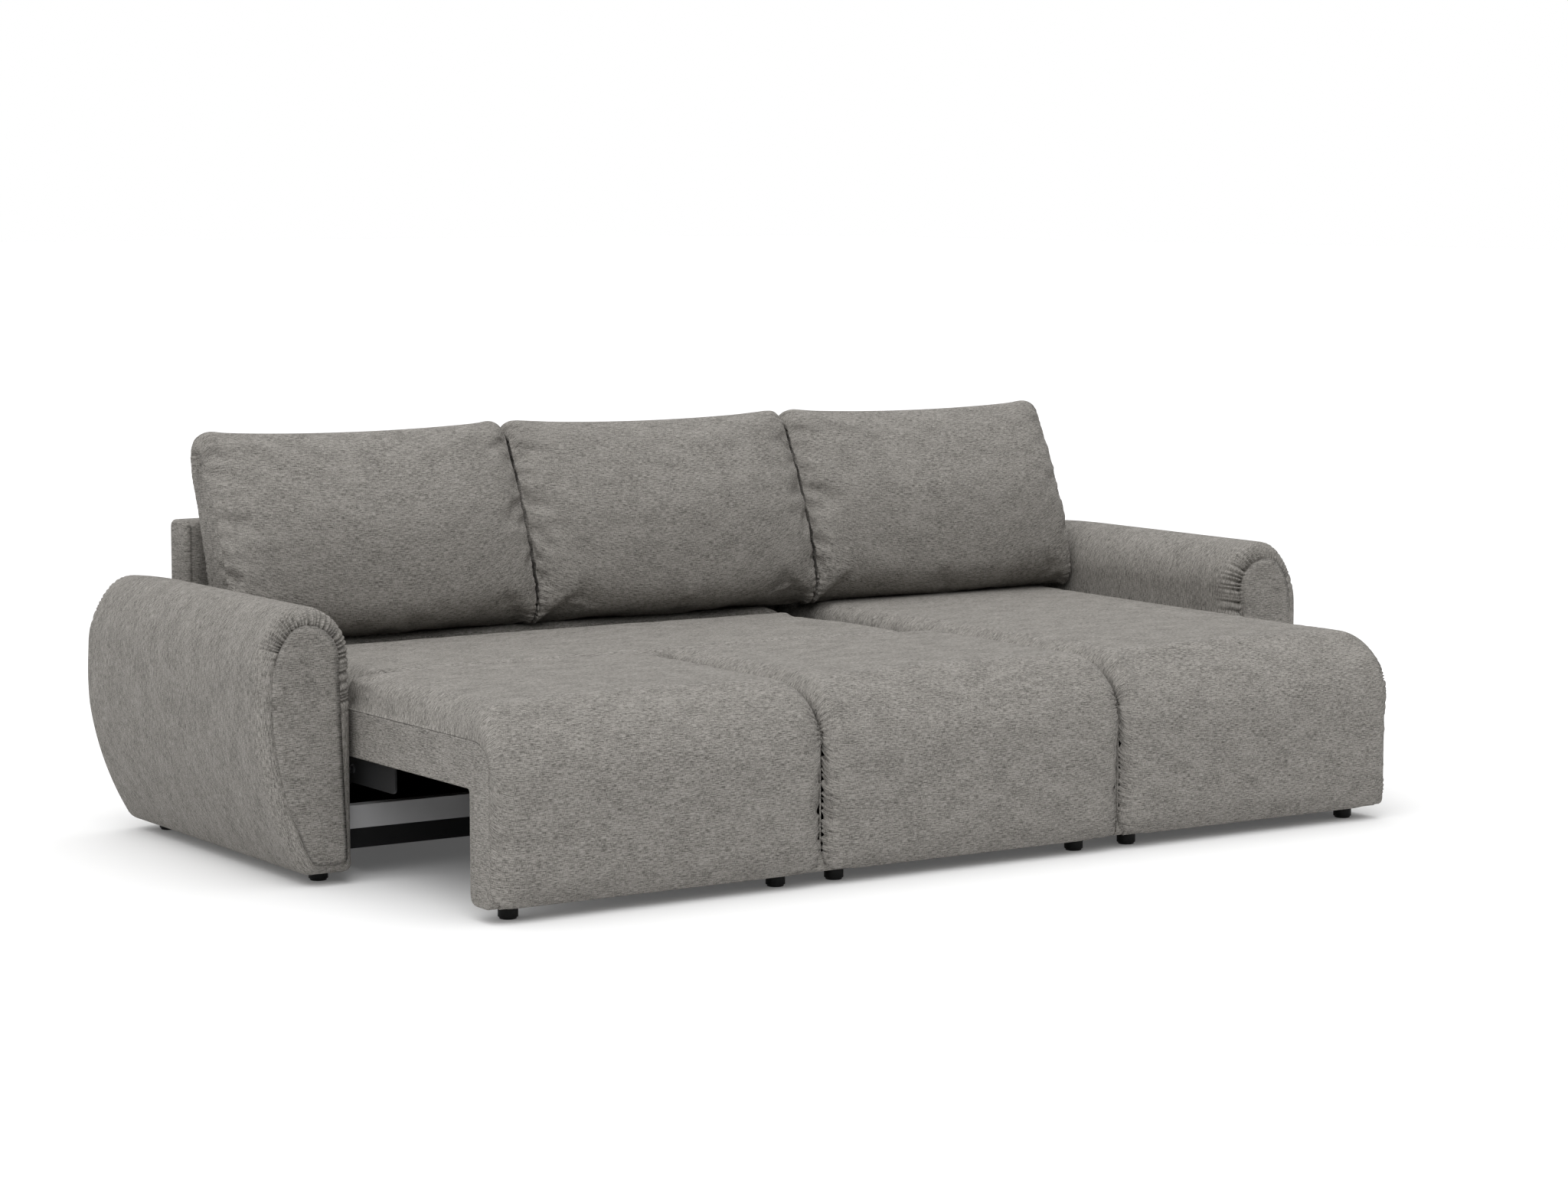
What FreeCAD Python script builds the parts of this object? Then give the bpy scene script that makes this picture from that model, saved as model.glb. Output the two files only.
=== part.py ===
import FreeCAD, Part

import Sketcher

import math
import os
import re

from FreeCAD import Rotation, Vector

# Corner sofa bed in millimetres, drawn as it stands with the bed pulled out.
# X runs along the sofa, Y from the front to the back, Z up from the floor.
# The origin is on the floor, at the middle of the width and of the depth.
# Three seats stand side by side: two on the pull-out bed, and the chaise on the right.

document = FreeCAD.newDocument("sofa_bed")
sheet = document.addObject("Spreadsheet::Sheet", "Sizes")

SIZES = {
    # Whole sofa
    "overall_depth": 1526,
    "seat_width": 800,
    "seat_height": 440,
    "seat_gap": 3,
    "foot_height": 30,
    "foot_radius": 21,
    "foot_inset": 75,
    "foot_setback": 84,
    # Arms
    "arm_width": 224,
    "arm_length": 930,
    "arm_height": 600,
    "arm_gap": 8,
    "arm_arch_radius": 112,
    "arm_shoulder_radius": 80,
    "arm_belly_height": 400,
    "arm_base_width": 120,
    "arm_end_round": 34,
    "arm_foot_inset": 46,
    "arm_foot_front": 88,
    "arm_foot_rear": 70,
    # Low back
    "back_thickness": 90,
    "back_height": 714,
    "back_edge_round": 16,
    # Pull-out bed: covers, boards and front panel
    "slab_depth": 679,
    "cover_thickness": 70,
    "cover_front": 25,
    "panel_thickness": 85,
    "box_height": 102,
    "deck_thickness": 25,
    "front_corner_round": 80,
    "rear_corner_round": 38,
    "hem_round": 24,
    "shoulder_drop": 40,
    "shoulder_reach": 64,
    "end_draw_in": 18,
    "slab_bevel": 24,
    # Rear pad of the bed, which hides under the seat
    "rear_pad_gap": 6,
    "rear_pad_inset": 70,
    "rear_pad_soft": 92,
    "rear_pad_board": 18,
    "rear_pad_below": 3,
    # Fixed ledge under the loose cushions
    "ledge_depth": 180,
    "ledge_play": 6,
    "ledge_pad": 48,
    "ledge_board": 18,
    # Base rails between the left arm and the chaise
    "front_rail_setback": 61,
    "front_rail_depth": 30,
    "front_rail_height": 50,
    "tube_wall": 2,
    "toe_rail_height": 43,
    "toe_rail_bottom": 65,
    "side_rail_width": 26,
    "side_rail_height": 45,
    "rear_rail_depth": 36,
    # Lifting mechanism, one unit at each side of the bed
    "crank_length": 296,
    "crank_angle": 66,
    "short_arm": 54,
    "short_angle": 66,
    "crank_spacing": 120,
    "crank_thickness": 6,
    "short_thickness": 5,
    "crank_eye": 18,
    "short_eye": 15,
    "hub_radius": 14,
    "hub_length": 4,
    "plate_thickness": 5,
    "plate_corner": 12,
    "washer_thickness": 4,
    "washer_radius": 9,
    "stud_radius": 5,
    "stud_play": 0.08,
    "open_play": 0.4,
    "nut_thickness": 3.5,
    "nut_room": 1.5,
    "side_play": 0.2,
    "pivot_below_box": 33,
    "pivot_inset": 8,
    "rail_front_reach": 192,
    "rail_rear_reach": 28,
    "rail_drop": 30,
    "rail_grip": 32,
    "plate_margin": 40,
    "plate_top": 20,
    "pad_rail_margin": 24,
    "pad_rail_drop": 20,
    # Chaise
    "chaise_board": 22,
    # Loose back cushions
    "cushion_side_gap": 9,
    "cushion_toe": 198,
    "cushion_toe_roll": 30,
    "cushion_belly": 12,
    "cushion_belly_height": 72,
    "cushion_crown": 42,
    "cushion_height": 472,
    "cushion_sag": 12,
    "cushion_head": 50,
    "cushion_head_roll": 20,
    "cushion_heel": 113,
    "cushion_heel_roll": 60,
    "cushion_crest": 2,
    "cushion_crest_drop": 12,
    "cushion_front_bow": 24,
    "cushion_rear_bow": 22,
    "soft_gap": 0.3,
}

DERIVED = {
    "front_plane": "-overall_depth / 2",
    "back_plane": "overall_depth / 2",
    "bed_left": "-1.5 * seat_width",
    "bed_right": "0.5 * seat_width",
    "chaise_right": "1.5 * seat_width",
    "arm_inner": "1.5 * seat_width + arm_gap",
    "back_front": "back_plane - back_thickness",
    "slab_rear": "front_plane + slab_depth",
    "cover_bottom": "seat_height - cover_thickness",
    "deck_bottom": "cover_bottom - deck_thickness",
    "box_bottom": "cover_bottom - box_height",
    "panel_front": "front_plane + cover_front",
    "panel_rear": "panel_front + panel_thickness",
    "travel_half": "crank_length * sin(crank_angle)",
    "pivot_drop": "crank_length * cos(crank_angle)",
    "pivot_height": "box_bottom - pivot_below_box",
    "front_pivot": "slab_rear - pivot_inset",
    "base_pivot": "front_pivot + travel_half",
    "base_pivot_height": "pivot_height - pivot_drop",
    "pad_pivot": "base_pivot + short_arm * cos(short_angle)",
    "pad_pivot_height": "base_pivot_height + short_arm * sin(short_angle)",
    "rear_pad_top": "seat_height - rear_pad_below",
    "rear_pad_bottom": "rear_pad_top - rear_pad_soft",
    "rear_pad_front": "slab_rear + rear_pad_gap",
    "rear_pad_rear": "ledge_front - ledge_play - short_arm * (1 - cos(short_angle))",
    "ledge_front": "back_front - ledge_depth",
    "ledge_floor": "toe_rail_bottom + side_rail_height",
    "ledge_pad_bottom": "seat_height - ledge_pad",
    "front_rail_front": "back_plane - arm_length + front_rail_setback",
    "front_rail_back": "front_rail_front + front_rail_depth",
    "front_rail_bottom": "toe_rail_bottom + toe_rail_height",
    "layer_plate": "side_rail_width",
    "layer_crank": "layer_plate + plate_thickness + washer_thickness",
    "layer_hub": "layer_crank + crank_thickness",
    "layer_short": "layer_hub + hub_length",
    "layer_nut": "layer_short + short_thickness",
    "layer_pad_rail": "layer_nut + nut_thickness + nut_room",
    "layer_pad_board": "layer_pad_rail + plate_thickness",
}

for row, (name, number) in enumerate(SIZES.items(), start=1):
    sheet.set(f"A{row}", name)
    sheet.set(f"B{row}", str(number))
    sheet.setAlias(f"B{row}", name)
document.recompute()


def full(text):
    """Write a size out in the sheet's own names."""
    def word(found):
        name = found.group(0)
        if name in DERIVED:
            return "(" + full(DERIVED[name]) + ")"
        if name in SIZES:
            return "Sizes." + name
        return name
    return re.sub(r"[a-z][a-z_]*", word, str(text))


def size(text):
    """Give the number that a size stands for."""
    return float(sheet.evalExpression(full(text)))


def bind(item, **sizes):
    """Tie properties of an object to sizes."""
    for prop, text in sizes.items():
        item.setExpression(prop.replace("__", "."), full(text))
    return item


def place(item, x, y, z):
    """Tie an object's place to sizes."""
    return bind(item, Placement__Base__x=x, Placement__Base__y=y, Placement__Base__z=z)


KEPT = []


def keep(item, label):
    """Name a finished sub-part and remember it for writing."""
    item.Label = label
    KEPT.append(item)
    return item


def board(name, x, y, z, length, width, height):
    """A straight board or tube blank: its low corner and its size along X, Y and Z."""
    box = document.addObject("Part::Box", name)
    bind(box, Length=length, Width=width, Height=height)
    return place(box, x, y, z)


def rod(name, x, y, z, radius, length, along="Z"):
    """A round bar from a point, along Z or X."""
    bar = document.addObject("Part::Cylinder", name)
    if along == "X":
        bar.Placement = FreeCAD.Placement(Vector(), Rotation(Vector(0, 1, 0), 90))
    bind(bar, Radius=radius, Height=length)
    return place(bar, x, y, z)


def group(name, items):
    """Several separate solids in one sub-part."""
    bundle = document.addObject("Part::Compound", name)
    bundle.Links = items
    return bundle


def fuse(name, items):
    joined = document.addObject("Part::MultiFuse", name)
    joined.Shapes = items
    return joined


def cut(name, base, tool):
    result = document.addObject("Part::Cut", name)
    result.Base = base
    result.Tool = tool
    return result


def soft(name, shape):
    """A soft or curved solid whose shape is worked out here."""
    feature = document.addObject("Part::Feature", name)
    feature.Shape = shape
    return feature


def across(x):
    """Points of a section that stands across the sofa at x, from (y, z)."""
    return lambda y, z: Vector(x, y, z)


def wire(point, parts):
    """Close a section from lines of two points and arcs of three."""
    edges = []
    for part in parts:
        ends = [point(*spot) for spot in part]
        if len(ends) == 2:
            edges.append(Part.LineSegment(*ends).toShape())
        else:
            edges.append(Part.Arc(*ends).toShape())
    return Part.Wire(edges)


def loft(wires):
    """A solid through sections, straight from each to the next."""
    return Part.makeLoft(wires, True, True)


# A pad's shoulder turns down a quarter round, in these steps from its end seam inwards.
SHOULDER_TURNS = (0, 20, 45, 90)
# The top still rises by this share of the drop, from the shoulders to the middle.
CROWN_SHARE = 0.06
# The front corner is tighter at the ends of a cover than in its middle.
END_TIGHTEN = 0.4


def stations(left, right):
    """Where a pad's sections stand along X, with the drop at each."""
    reach = size("shoulder_reach")
    steps = []
    for angle in SHOULDER_TURNS:
        turn = math.radians(angle)
        drop = CROWN_SHARE + (1 - CROWN_SHARE) * (1 - math.sin(turn))
        steps.append((reach * (1 - math.cos(turn)), drop))
    inwards = [(left + inset, drop) for inset, drop in steps]
    outwards = [(right - inset, drop) for inset, drop in reversed(steps)]
    return inwards + [((left + right) / 2, 0.0)] + outwards


def quarter(y, z, radius, start):
    """Middle and end of a quarter turn about (y, z), from an angle, clockwise."""
    spots = []
    for angle in (start, start - 45, start - 90):
        turn = math.radians(angle)
        spots.append((y + radius * math.cos(turn), z + radius * math.sin(turn)))
    return spots


def wrapped_pad(left, right, rear, bevel):
    """Cover that lies on the seat and wraps down over the front panel."""
    top = size("seat_height")
    under = size("cover_bottom")
    front = size("front_plane")
    inside = size("panel_front")
    hem = size("foot_height")
    corner = size("front_corner_round")
    back_round = size("rear_corner_round")
    hem_round = size("hem_round")
    sections = []
    for x, share in stations(left, right):
        high = top - share * size("shoulder_drop")
        face = front + share * size("end_draw_in")
        back = rear - share * size("end_draw_in")
        rise = min(back_round, 0.8 * (high - under))
        bend = corner * (1 - END_TIGHTEN * share)
        top_rear = quarter(back - rise, high - rise, rise, 90)
        top_front = quarter(face + bend, high - bend, bend, 180)
        low = min(hem_round, inside - face - 1)
        toe = quarter(face + low, hem + low, low, 270)
        sections.append(wire(across(x), [
            (top_front[0], top_front[1], top_front[2]),
            (top_front[2], top_rear[0]),
            (top_rear[0], top_rear[1], top_rear[2]),
            (top_rear[2], (rear - bevel, under)),
            ((rear - bevel, under), (inside, under)),
            ((inside, under), (inside, hem)),
            ((inside, hem), toe[0]),
            (toe[0], toe[1], toe[2]),
            (toe[2], top_front[0]),
        ]))
    return loft(sections)


def flat_pad(left, right, front, rear, under, top, bevel):
    """Pad on a board, with rounded shoulders all round."""
    round_off = size("rear_corner_round")
    sections = []
    for x, share in stations(left, right):
        high = top - share * min(size("shoulder_drop"), 0.45 * (top - under))
        rise = min(round_off, 0.8 * (high - under))
        top_rear = quarter(rear - rise, high - rise, rise, 90)
        top_front = quarter(front + rise, high - rise, rise, 180)
        sections.append(wire(across(x), [
            (top_front[0], top_front[1], top_front[2]),
            (top_front[2], top_rear[0]),
            (top_rear[0], top_rear[1], top_rear[2]),
            (top_rear[2], (rear, under)),
            ((rear, under), (front - bevel, under)),
            ((front - bevel, under), top_front[0]),
        ]))
    return loft(sections)


# Arms: one outline of tangent arcs, long and upright, arched at the top.
# The inner face is straight, the outer one swells at the belly and draws in to the foot.
def arm_shape(side):
    width = size("arm_width")
    height = size("arm_height")
    arch = size("arm_arch_radius")
    shoulder = size("arm_shoulder_radius")
    belly = size("arm_belly_height")
    bottom = size("foot_height")
    base = size("arm_base_width")
    half = math.sqrt(0.5)
    side_radius = (width - arch - half * shoulder) / (1 - half)
    turn_x = arch + half * shoulder
    turn_z = height - shoulder + half * shoulder
    side_x = turn_x - half * side_radius
    side_z = turn_z - half * side_radius
    run = width - base
    fall = belly - bottom
    sweep = (run ** 2 + fall ** 2) / (2 * run)
    middle = math.asin(fall / sweep) / 2

    def point(out, up):
        return Vector(side * (size("arm_inner") + out), size("back_plane") - size("arm_length"), up)

    def on(x, z, radius, angle):
        turn = math.radians(angle)
        return (x + radius * math.cos(turn), z + radius * math.sin(turn))

    outline = wire(point, [
        ((0, bottom), (0, height - arch)),
        ((0, height - arch), on(arch, height - arch, arch, 135), (arch, height)),
        ((arch, height), on(arch, height - shoulder, shoulder, 67.5), (turn_x, turn_z)),
        ((turn_x, turn_z), on(side_x, side_z, side_radius, 22.5), (width, side_z)),
        ((width, side_z), (width, belly)),
        ((width, belly), on(width - sweep, belly, sweep, -math.degrees(middle)), (base, bottom)),
        ((base, bottom), (0, bottom)),
    ])
    block = Part.Face(outline).extrude(Vector(0, size("arm_length"), 0))
    ends = []
    for edge in block.Edges:
        y = [vertex.Point.y for vertex in edge.Vertexes]
        if abs(y[0] - y[-1]) < 0.01:
            ends.append(edge)
    return block.makeFillet(size("arm_end_round"), ends)


keep(soft("ArmLeft", arm_shape(-1)), "arm_left")
keep(soft("ArmRight", arm_shape(1)), "arm_right")


# Low back: an upholstered wall between the arms, its edges rounded.
back = document.addObject("PartDesign::Body", "BackFrame")
back_block = back.newObject("PartDesign::AdditiveBox", "BackBlock")
bind(back_block, Length="2 * arm_inner", Width="back_thickness", Height="back_height - foot_height")
document.recompute()
back_round = back.newObject("PartDesign::Fillet", "BackRound")
back_round.Base = (back_block, [f"Edge{number + 1}" for number in range(len(back_block.Shape.Edges))])
bind(back_round, Radius="back_edge_round")
back.Tip = back_round
place(back, "0 - arm_inner", "back_front", "foot_height")
keep(back, "back_frame")


# Covers of the pull-out seats, and the chaise's longer one.
edge = size("seat_gap") / 2
seat = size("seat_width")
bed_left = size("bed_left")
slab_rear = size("slab_rear")
bevel = size("slab_bevel")
keep(soft("SeatPadLeft", wrapped_pad(bed_left + edge, bed_left + seat - edge, slab_rear, bevel)),
     "seat_pad_left")
keep(soft("SeatPadMiddle", wrapped_pad(bed_left + seat + edge, bed_left + 2 * seat - edge, slab_rear,
                                       bevel)), "seat_pad_middle")
keep(soft("ChaisePad", wrapped_pad(bed_left + 2 * seat + edge, bed_left + 3 * seat - edge,
                                   size("back_front - soft_gap"), 0)), "chaise_pad")

# Boards of the pull-out: front panel, two side boards and the deck under the foam.
bed_width = "2 * seat_width - seat_gap"
bed_start = "bed_left + seat_gap / 2"
keep(board("SeatPanel", bed_start, "panel_front", "foot_height", bed_width, "panel_thickness",
           "cover_bottom - foot_height"), "seat_panel_board")
side_run = "slab_rear - slab_bevel - panel_rear"
side_board = "layer_plate - seat_gap / 2"
left_side = board("SeatSideLeft", bed_start, "panel_rear", "box_bottom", side_board, side_run, "box_height")
right_side = board("SeatSideRight", "bed_right - layer_plate", "panel_rear", "box_bottom", side_board,
                   side_run, "box_height")
keep(group("SeatSides", [left_side, right_side]), "seat_side_boards")
keep(board("SeatDeck", "bed_left + layer_plate", "panel_rear", "deck_bottom",
           "2 * seat_width - 2 * layer_plate", side_run, "deck_thickness"), "seat_deck")

# Rear pad and the board it is upholstered on.
keep(soft("RearPad", flat_pad(size("bed_left + rear_pad_inset"), size("bed_right - rear_pad_inset"),
                              size("rear_pad_front"), size("rear_pad_rear"), size("rear_pad_bottom"),
                              size("rear_pad_top"), bevel)), "rear_pad")
keep(board("RearPadBoard", "bed_left + layer_pad_board", "rear_pad_front - slab_bevel",
           "rear_pad_bottom - rear_pad_board", "2 * seat_width - 2 * (layer_pad_board)",
           "rear_pad_rear - rear_pad_front + slab_bevel", "rear_pad_board"), "rear_pad_board")

# Fixed ledge behind the rear pad: four boards and a thin pad, which carries the loose cushions.
ledge_left = "bed_left + rear_pad_inset"
ledge_width = "2 * seat_width - 2 * rear_pad_inset"
ledge_rise = "ledge_pad_bottom - ledge_floor"
ledge_reach = "ledge_depth - ledge_board"
keep(board("LedgeFront", ledge_left, "ledge_front", "ledge_floor", ledge_width, "ledge_board", ledge_rise),
     "ledge_front_board")
keep(board("LedgeTop", ledge_left, "ledge_front + ledge_board", "ledge_pad_bottom - ledge_board",
           ledge_width, ledge_reach, "ledge_board"), "ledge_top_board")
ledge_end = [board(f"LedgeEnd{number}", x, "ledge_front + ledge_board", "ledge_floor", "ledge_board",
                   ledge_reach, f"{ledge_rise} - ledge_board")
             for number, x in enumerate([ledge_left, f"{ledge_left} + {ledge_width} - ledge_board"])]
keep(group("LedgeEnds", ledge_end), "ledge_end_boards")
keep(soft("LedgePad", flat_pad(size(ledge_left), size(f"{ledge_left} + {ledge_width}"),
                               size("ledge_front"), size("back_front - soft_gap"),
                               size("ledge_pad_bottom"), size("seat_height"), 0)), "ledge_pad")


# Base rails: a grey steel tube over a black toe rail at the front, and a rail along each side.
rail_start = "0 - arm_inner"
rail_run = "arm_inner + bed_right + seat_gap / 2"
tube = board("FrontTube", rail_start, "front_rail_front", "front_rail_bottom", rail_run, "front_rail_depth",
             "front_rail_height")
bore = board("FrontTubeBore", rail_start, "front_rail_front + tube_wall", "front_rail_bottom + tube_wall",
             rail_run, "front_rail_depth - 2 * tube_wall", "front_rail_height - 2 * tube_wall")
keep(cut("FrontRail", tube, bore), "front_rail")
keep(board("ToeRail", rail_start, "front_rail_front", "toe_rail_bottom", rail_run, "front_rail_depth",
           "toe_rail_height"), "toe_rail")
side_length = "back_front - front_rail_back"
keep(board("SideRailLeft", rail_start, "front_rail_back", "toe_rail_bottom",
           "side_rail_width + arm_gap", side_length, "side_rail_height"), "side_rail_left")
keep(board("SideRailRight", "bed_right - side_rail_width", "front_rail_back", "toe_rail_bottom",
           "side_rail_width + seat_gap / 2", side_length, "side_rail_height"), "side_rail_right")
keep(board("RearRail", "bed_left + side_rail_width", "ledge_front", "toe_rail_bottom",
           "2 * seat_width - 2 * side_rail_width", "rear_rail_depth", "side_rail_height"), "rear_rail")


# Chaise carcass under its cover.
chaise_left = "bed_right + seat_gap / 2"
chaise_width = "seat_width - seat_gap"
keep(board("ChaisePanel", chaise_left, "panel_front", "foot_height", chaise_width, "panel_thickness",
           "cover_bottom - foot_height"), "chaise_panel_board")
chaise_run = "back_front - panel_rear - soft_gap"
chaise_wall_height = "cover_bottom - deck_thickness - foot_height"
wall_left = board("ChaiseWallLeft", chaise_left, "panel_rear", "foot_height", "chaise_board", chaise_run,
                  chaise_wall_height)
wall_right = board("ChaiseWallRight", "chaise_right - seat_gap / 2 - chaise_board", "panel_rear",
                   "foot_height", "chaise_board", chaise_run, chaise_wall_height)
keep(group("ChaiseWalls", [wall_left, wall_right]), "chaise_side_boards")
keep(board("ChaiseDeck", chaise_left, "panel_rear", "deck_bottom", chaise_width, chaise_run,
           "deck_thickness"), "chaise_deck")
keep(board("ChaiseRear", "bed_right + seat_gap / 2 + chaise_board", "back_front - soft_gap - chaise_board",
           "foot_height", "seat_width - seat_gap - 2 * chaise_board", "chaise_board", chaise_wall_height),
     "chaise_rear_board")


# Feet: short black cylinders, each screwed up into its board.
def feet(name, spots):
    """A set of feet, from the X and Y of each."""
    return group(name, [rod(f"{name}{number}", x, y, "0", "foot_radius", "foot_height")
                        for number, (x, y) in enumerate(spots)])


front_foot = "front_plane + foot_setback"
seat_spots = []
for first in ("bed_left", "bed_left + seat_width"):
    seat_spots.append((f"{first} + foot_inset", front_foot))
    seat_spots.append((f"{first} + seat_width - foot_inset", front_foot))
keep(feet("SeatFeet", seat_spots), "seat_feet")

rear_foot = "back_front + back_thickness / 2"
keep(feet("ChaiseFeet", [("bed_right + foot_inset", front_foot),
                         ("chaise_right - foot_inset", front_foot)]), "chaise_feet")
keep(feet("BackFeet", [("bed_left + foot_inset", rear_foot), ("0 - seat_width / 2", rear_foot),
                       ("seat_width / 2", rear_foot), ("chaise_right - foot_inset", rear_foot)]),
     "back_feet")
arm_spots = []
for side in ("0 - (arm_inner + arm_foot_inset)", "arm_inner + arm_foot_inset"):
    arm_spots.append((side, "back_plane - arm_length + arm_foot_front"))
    arm_spots.append((side, "back_plane - arm_foot_rear"))
keep(feet("ArmFeet", arm_spots), "arm_feet")


# Loose back cushions: each section across the sofa is two arcs of front, a head, a rear and a flat bottom.
# The ends are the plain gusset, and the middle is fuller, with its head a little lower.
CUSHION_FULLNESS = [(0.0, 0.0), (0.03, 0.3), (0.11, 0.6), (0.27, 0.88), (0.5, 1.0), (0.73, 0.88),
                    (0.89, 0.6), (0.97, 0.3), (1.0, 0.0)]


def bow(start, end, rise):
    """An arc from start to end that stands out by rise, to the left of the way it goes."""
    run = end[0] - start[0]
    climb = end[1] - start[1]
    length = math.hypot(run, climb)
    middle = ((start[0] + end[0]) / 2 - rise * climb / length, (start[1] + end[1]) / 2 + rise * run / length)
    return (start, middle, end)


def back_cushion(left, right):
    wall = size("back_front")
    bottom = size("seat_height + soft_gap")
    top = bottom + size("cushion_height")
    sections = []
    for share, full_share in CUSHION_FULLNESS:
        toe = (wall - size("cushion_toe") + full_share * size("cushion_toe_roll"), bottom)
        belly = (wall - size("cushion_toe + cushion_belly") - full_share * size("cushion_crown"),
                 bottom + size("cushion_belly_height") * (1 + 0.5 * full_share))
        head_height = top - full_share * size("cushion_sag")
        head = (wall - size("cushion_head") - full_share * size("cushion_head_roll"), head_height)
        crest = (wall - size("cushion_crest") - 0.3 * full_share * size("cushion_head_roll"),
                 head_height - size("cushion_crest_drop"))
        heel = (wall - size("cushion_heel") + full_share * size("cushion_heel_roll"), bottom)
        x = left + share * (right - left)
        sections.append(wire(across(x), [
            bow(toe, belly, size("cushion_belly") * (0.3 + full_share)),
            bow(belly, head, size("cushion_front_bow") * (0.5 + full_share)),
            bow(head, crest, size("cushion_crest_drop") * 0.5),
            bow(crest, heel, size("cushion_rear_bow") * (0.2 + full_share)),
            (heel, toe),
        ]))
    return loft(sections)


for number, side in enumerate(["left", "middle", "right"]):
    start = bed_left + number * seat + size("cushion_side_gap")
    keep(soft(f"BackCushion{number}", back_cushion(start, start + seat - 2 * size("cushion_side_gap"))),
         f"back_cushion_{side}")


# Mechanism. Sketches stand across the sofa, so their x is Y and their y is Z.
ALONG_X = Rotation(Vector(0, 1, 0), 90)
LONG_OUT = "crank_length * sin(crank_angle)"
LONG_UP = "crank_length * cos(crank_angle)"
SHORT_OUT = "short_arm * cos(short_angle)"
SHORT_UP = "short_arm * sin(short_angle)"


def sketch_in(body, name, offset):
    """A sketch on the body's own upright plane, some way inwards."""
    plane = [item for item in body.Origin.OriginFeatures if item.Role == "YZ_Plane"][0]
    sketch = body.newObject("Sketcher::SketchObject", name)
    sketch.AttachmentSupport = (plane, [""])
    sketch.MapMode = "FlatFace"
    bind(sketch, AttachmentOffset__Base__z=offset)
    return sketch


def limit(sketch, text, kind, *where):
    """A measured constraint, tied to a size."""
    number = sketch.addConstraint(Sketcher.Constraint(kind, *where, size(text)))
    sketch.setExpression(f"Constraints[{number}]", full(text))


def centre_at(sketch, curve, back, out, up):
    """Hold a curve's centre away from the sketch's origin, to the back or front, and up."""
    origin = (-1, 1)
    centre = (curve, 3)
    pair = origin + centre if back else centre + origin
    limit(sketch, out, "DistanceX", *pair)
    limit(sketch, up, "DistanceY", *origin, *centre)


def arm_sketch(body, name, offset, back, out, up, eye):
    """Slot outline of one crank arm, from the pivot to its far eye."""
    sketch = sketch_in(body, name, offset)
    run = size(out) if back else -size(out)
    lean = math.atan2(size(up), run)
    radius = size(eye)
    far = Vector(run, size(up), 0)
    normal = Vector(0, 0, 1)
    half = math.pi / 2
    aside = Vector(-math.sin(lean), math.cos(lean), 0) * radius
    sketch.addGeometry(Part.ArcOfCircle(Part.Circle(Vector(), normal, radius), lean + half, lean + 3 * half))
    sketch.addGeometry(Part.ArcOfCircle(Part.Circle(far, normal, radius), lean - half, lean + half))
    sketch.addGeometry(Part.LineSegment(-aside, far - aside))
    sketch.addGeometry(Part.LineSegment(far + aside, aside))
    for one, two in (((0, 2), (2, 1)), ((2, 2), (1, 1)), ((1, 2), (3, 1)), ((3, 2), (0, 1))):
        sketch.addConstraint(Sketcher.Constraint("Tangent", *one, *two))
    sketch.addConstraint(Sketcher.Constraint("Coincident", 0, 3, -1, 1))
    sketch.addConstraint(Sketcher.Constraint("Equal", 0, 1))
    limit(sketch, eye, "Radius", 0)
    centre_at(sketch, 1, back, out, up)
    return sketch


def x_rod(body, kind, name, x, y, z, radius, length):
    """A round feature of a body, along X."""
    feature = body.newObject(f"PartDesign::{kind}Cylinder", name)
    feature.Placement = FreeCAD.Placement(Vector(), ALONG_X)
    bind(feature, Radius=radius, Height=length)
    place(feature, x, y, z)
    body.Tip = feature
    return feature


def layer_x(side, inset, thickness):
    """X where a layer of the mechanism starts, counted from the bed's edge on its own side."""
    if side == "left":
        return f"bed_left + {inset}"
    return f"bed_right - ({inset}) - ({thickness})"


def crank(name, side, shift, play):
    """Bell crank: the long arm carries the seat, and the short arm on its hub carries the rear pad."""
    body = document.addObject("PartDesign::Body", name)
    width = "crank_thickness + hub_length + short_thickness"
    left = side == "left"
    long_x = "0" if left else "hub_length + short_thickness"
    short_x = "crank_thickness + hub_length" if left else "0"
    hub_x = "crank_thickness" if left else "short_thickness"
    long_arm = body.newObject("PartDesign::Pad", name + "Long")
    long_arm.Profile = arm_sketch(body, name + "LongArm", long_x, False, LONG_OUT, LONG_UP, "crank_eye")
    bind(long_arm, Length="crank_thickness")
    body.Tip = long_arm
    x_rod(body, "Additive", name + "Hub", hub_x, "0", "0", "hub_radius", "hub_length")
    short_arm = body.newObject("PartDesign::Pad", name + "Short")
    short_arm.Profile = arm_sketch(body, name + "ShortArm", short_x, True, SHORT_OUT, SHORT_UP, "short_eye")
    bind(short_arm, Length="short_thickness")
    body.Tip = short_arm
    document.recompute()
    before = body.Shape.Volume
    x_rod(body, "Subtractive", name + "Bore", "0", "0", "0", "stud_radius + stud_play", width)
    x_rod(body, "Subtractive", name + "SeatEye", long_x, "0 - " + LONG_OUT, LONG_UP,
          f"stud_radius + {play}", "crank_thickness")
    x_rod(body, "Subtractive", name + "PadEye", short_x, SHORT_OUT, SHORT_UP, f"stud_radius + {play}",
          "short_thickness")
    document.recompute()
    eyes = before - body.Shape.Volume
    if eyes <= 0:
        raise RuntimeError(name + " has no eyes")
    return place(body, layer_x(side, "layer_crank", width), f"base_pivot + {shift}", "base_pivot_height")


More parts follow.
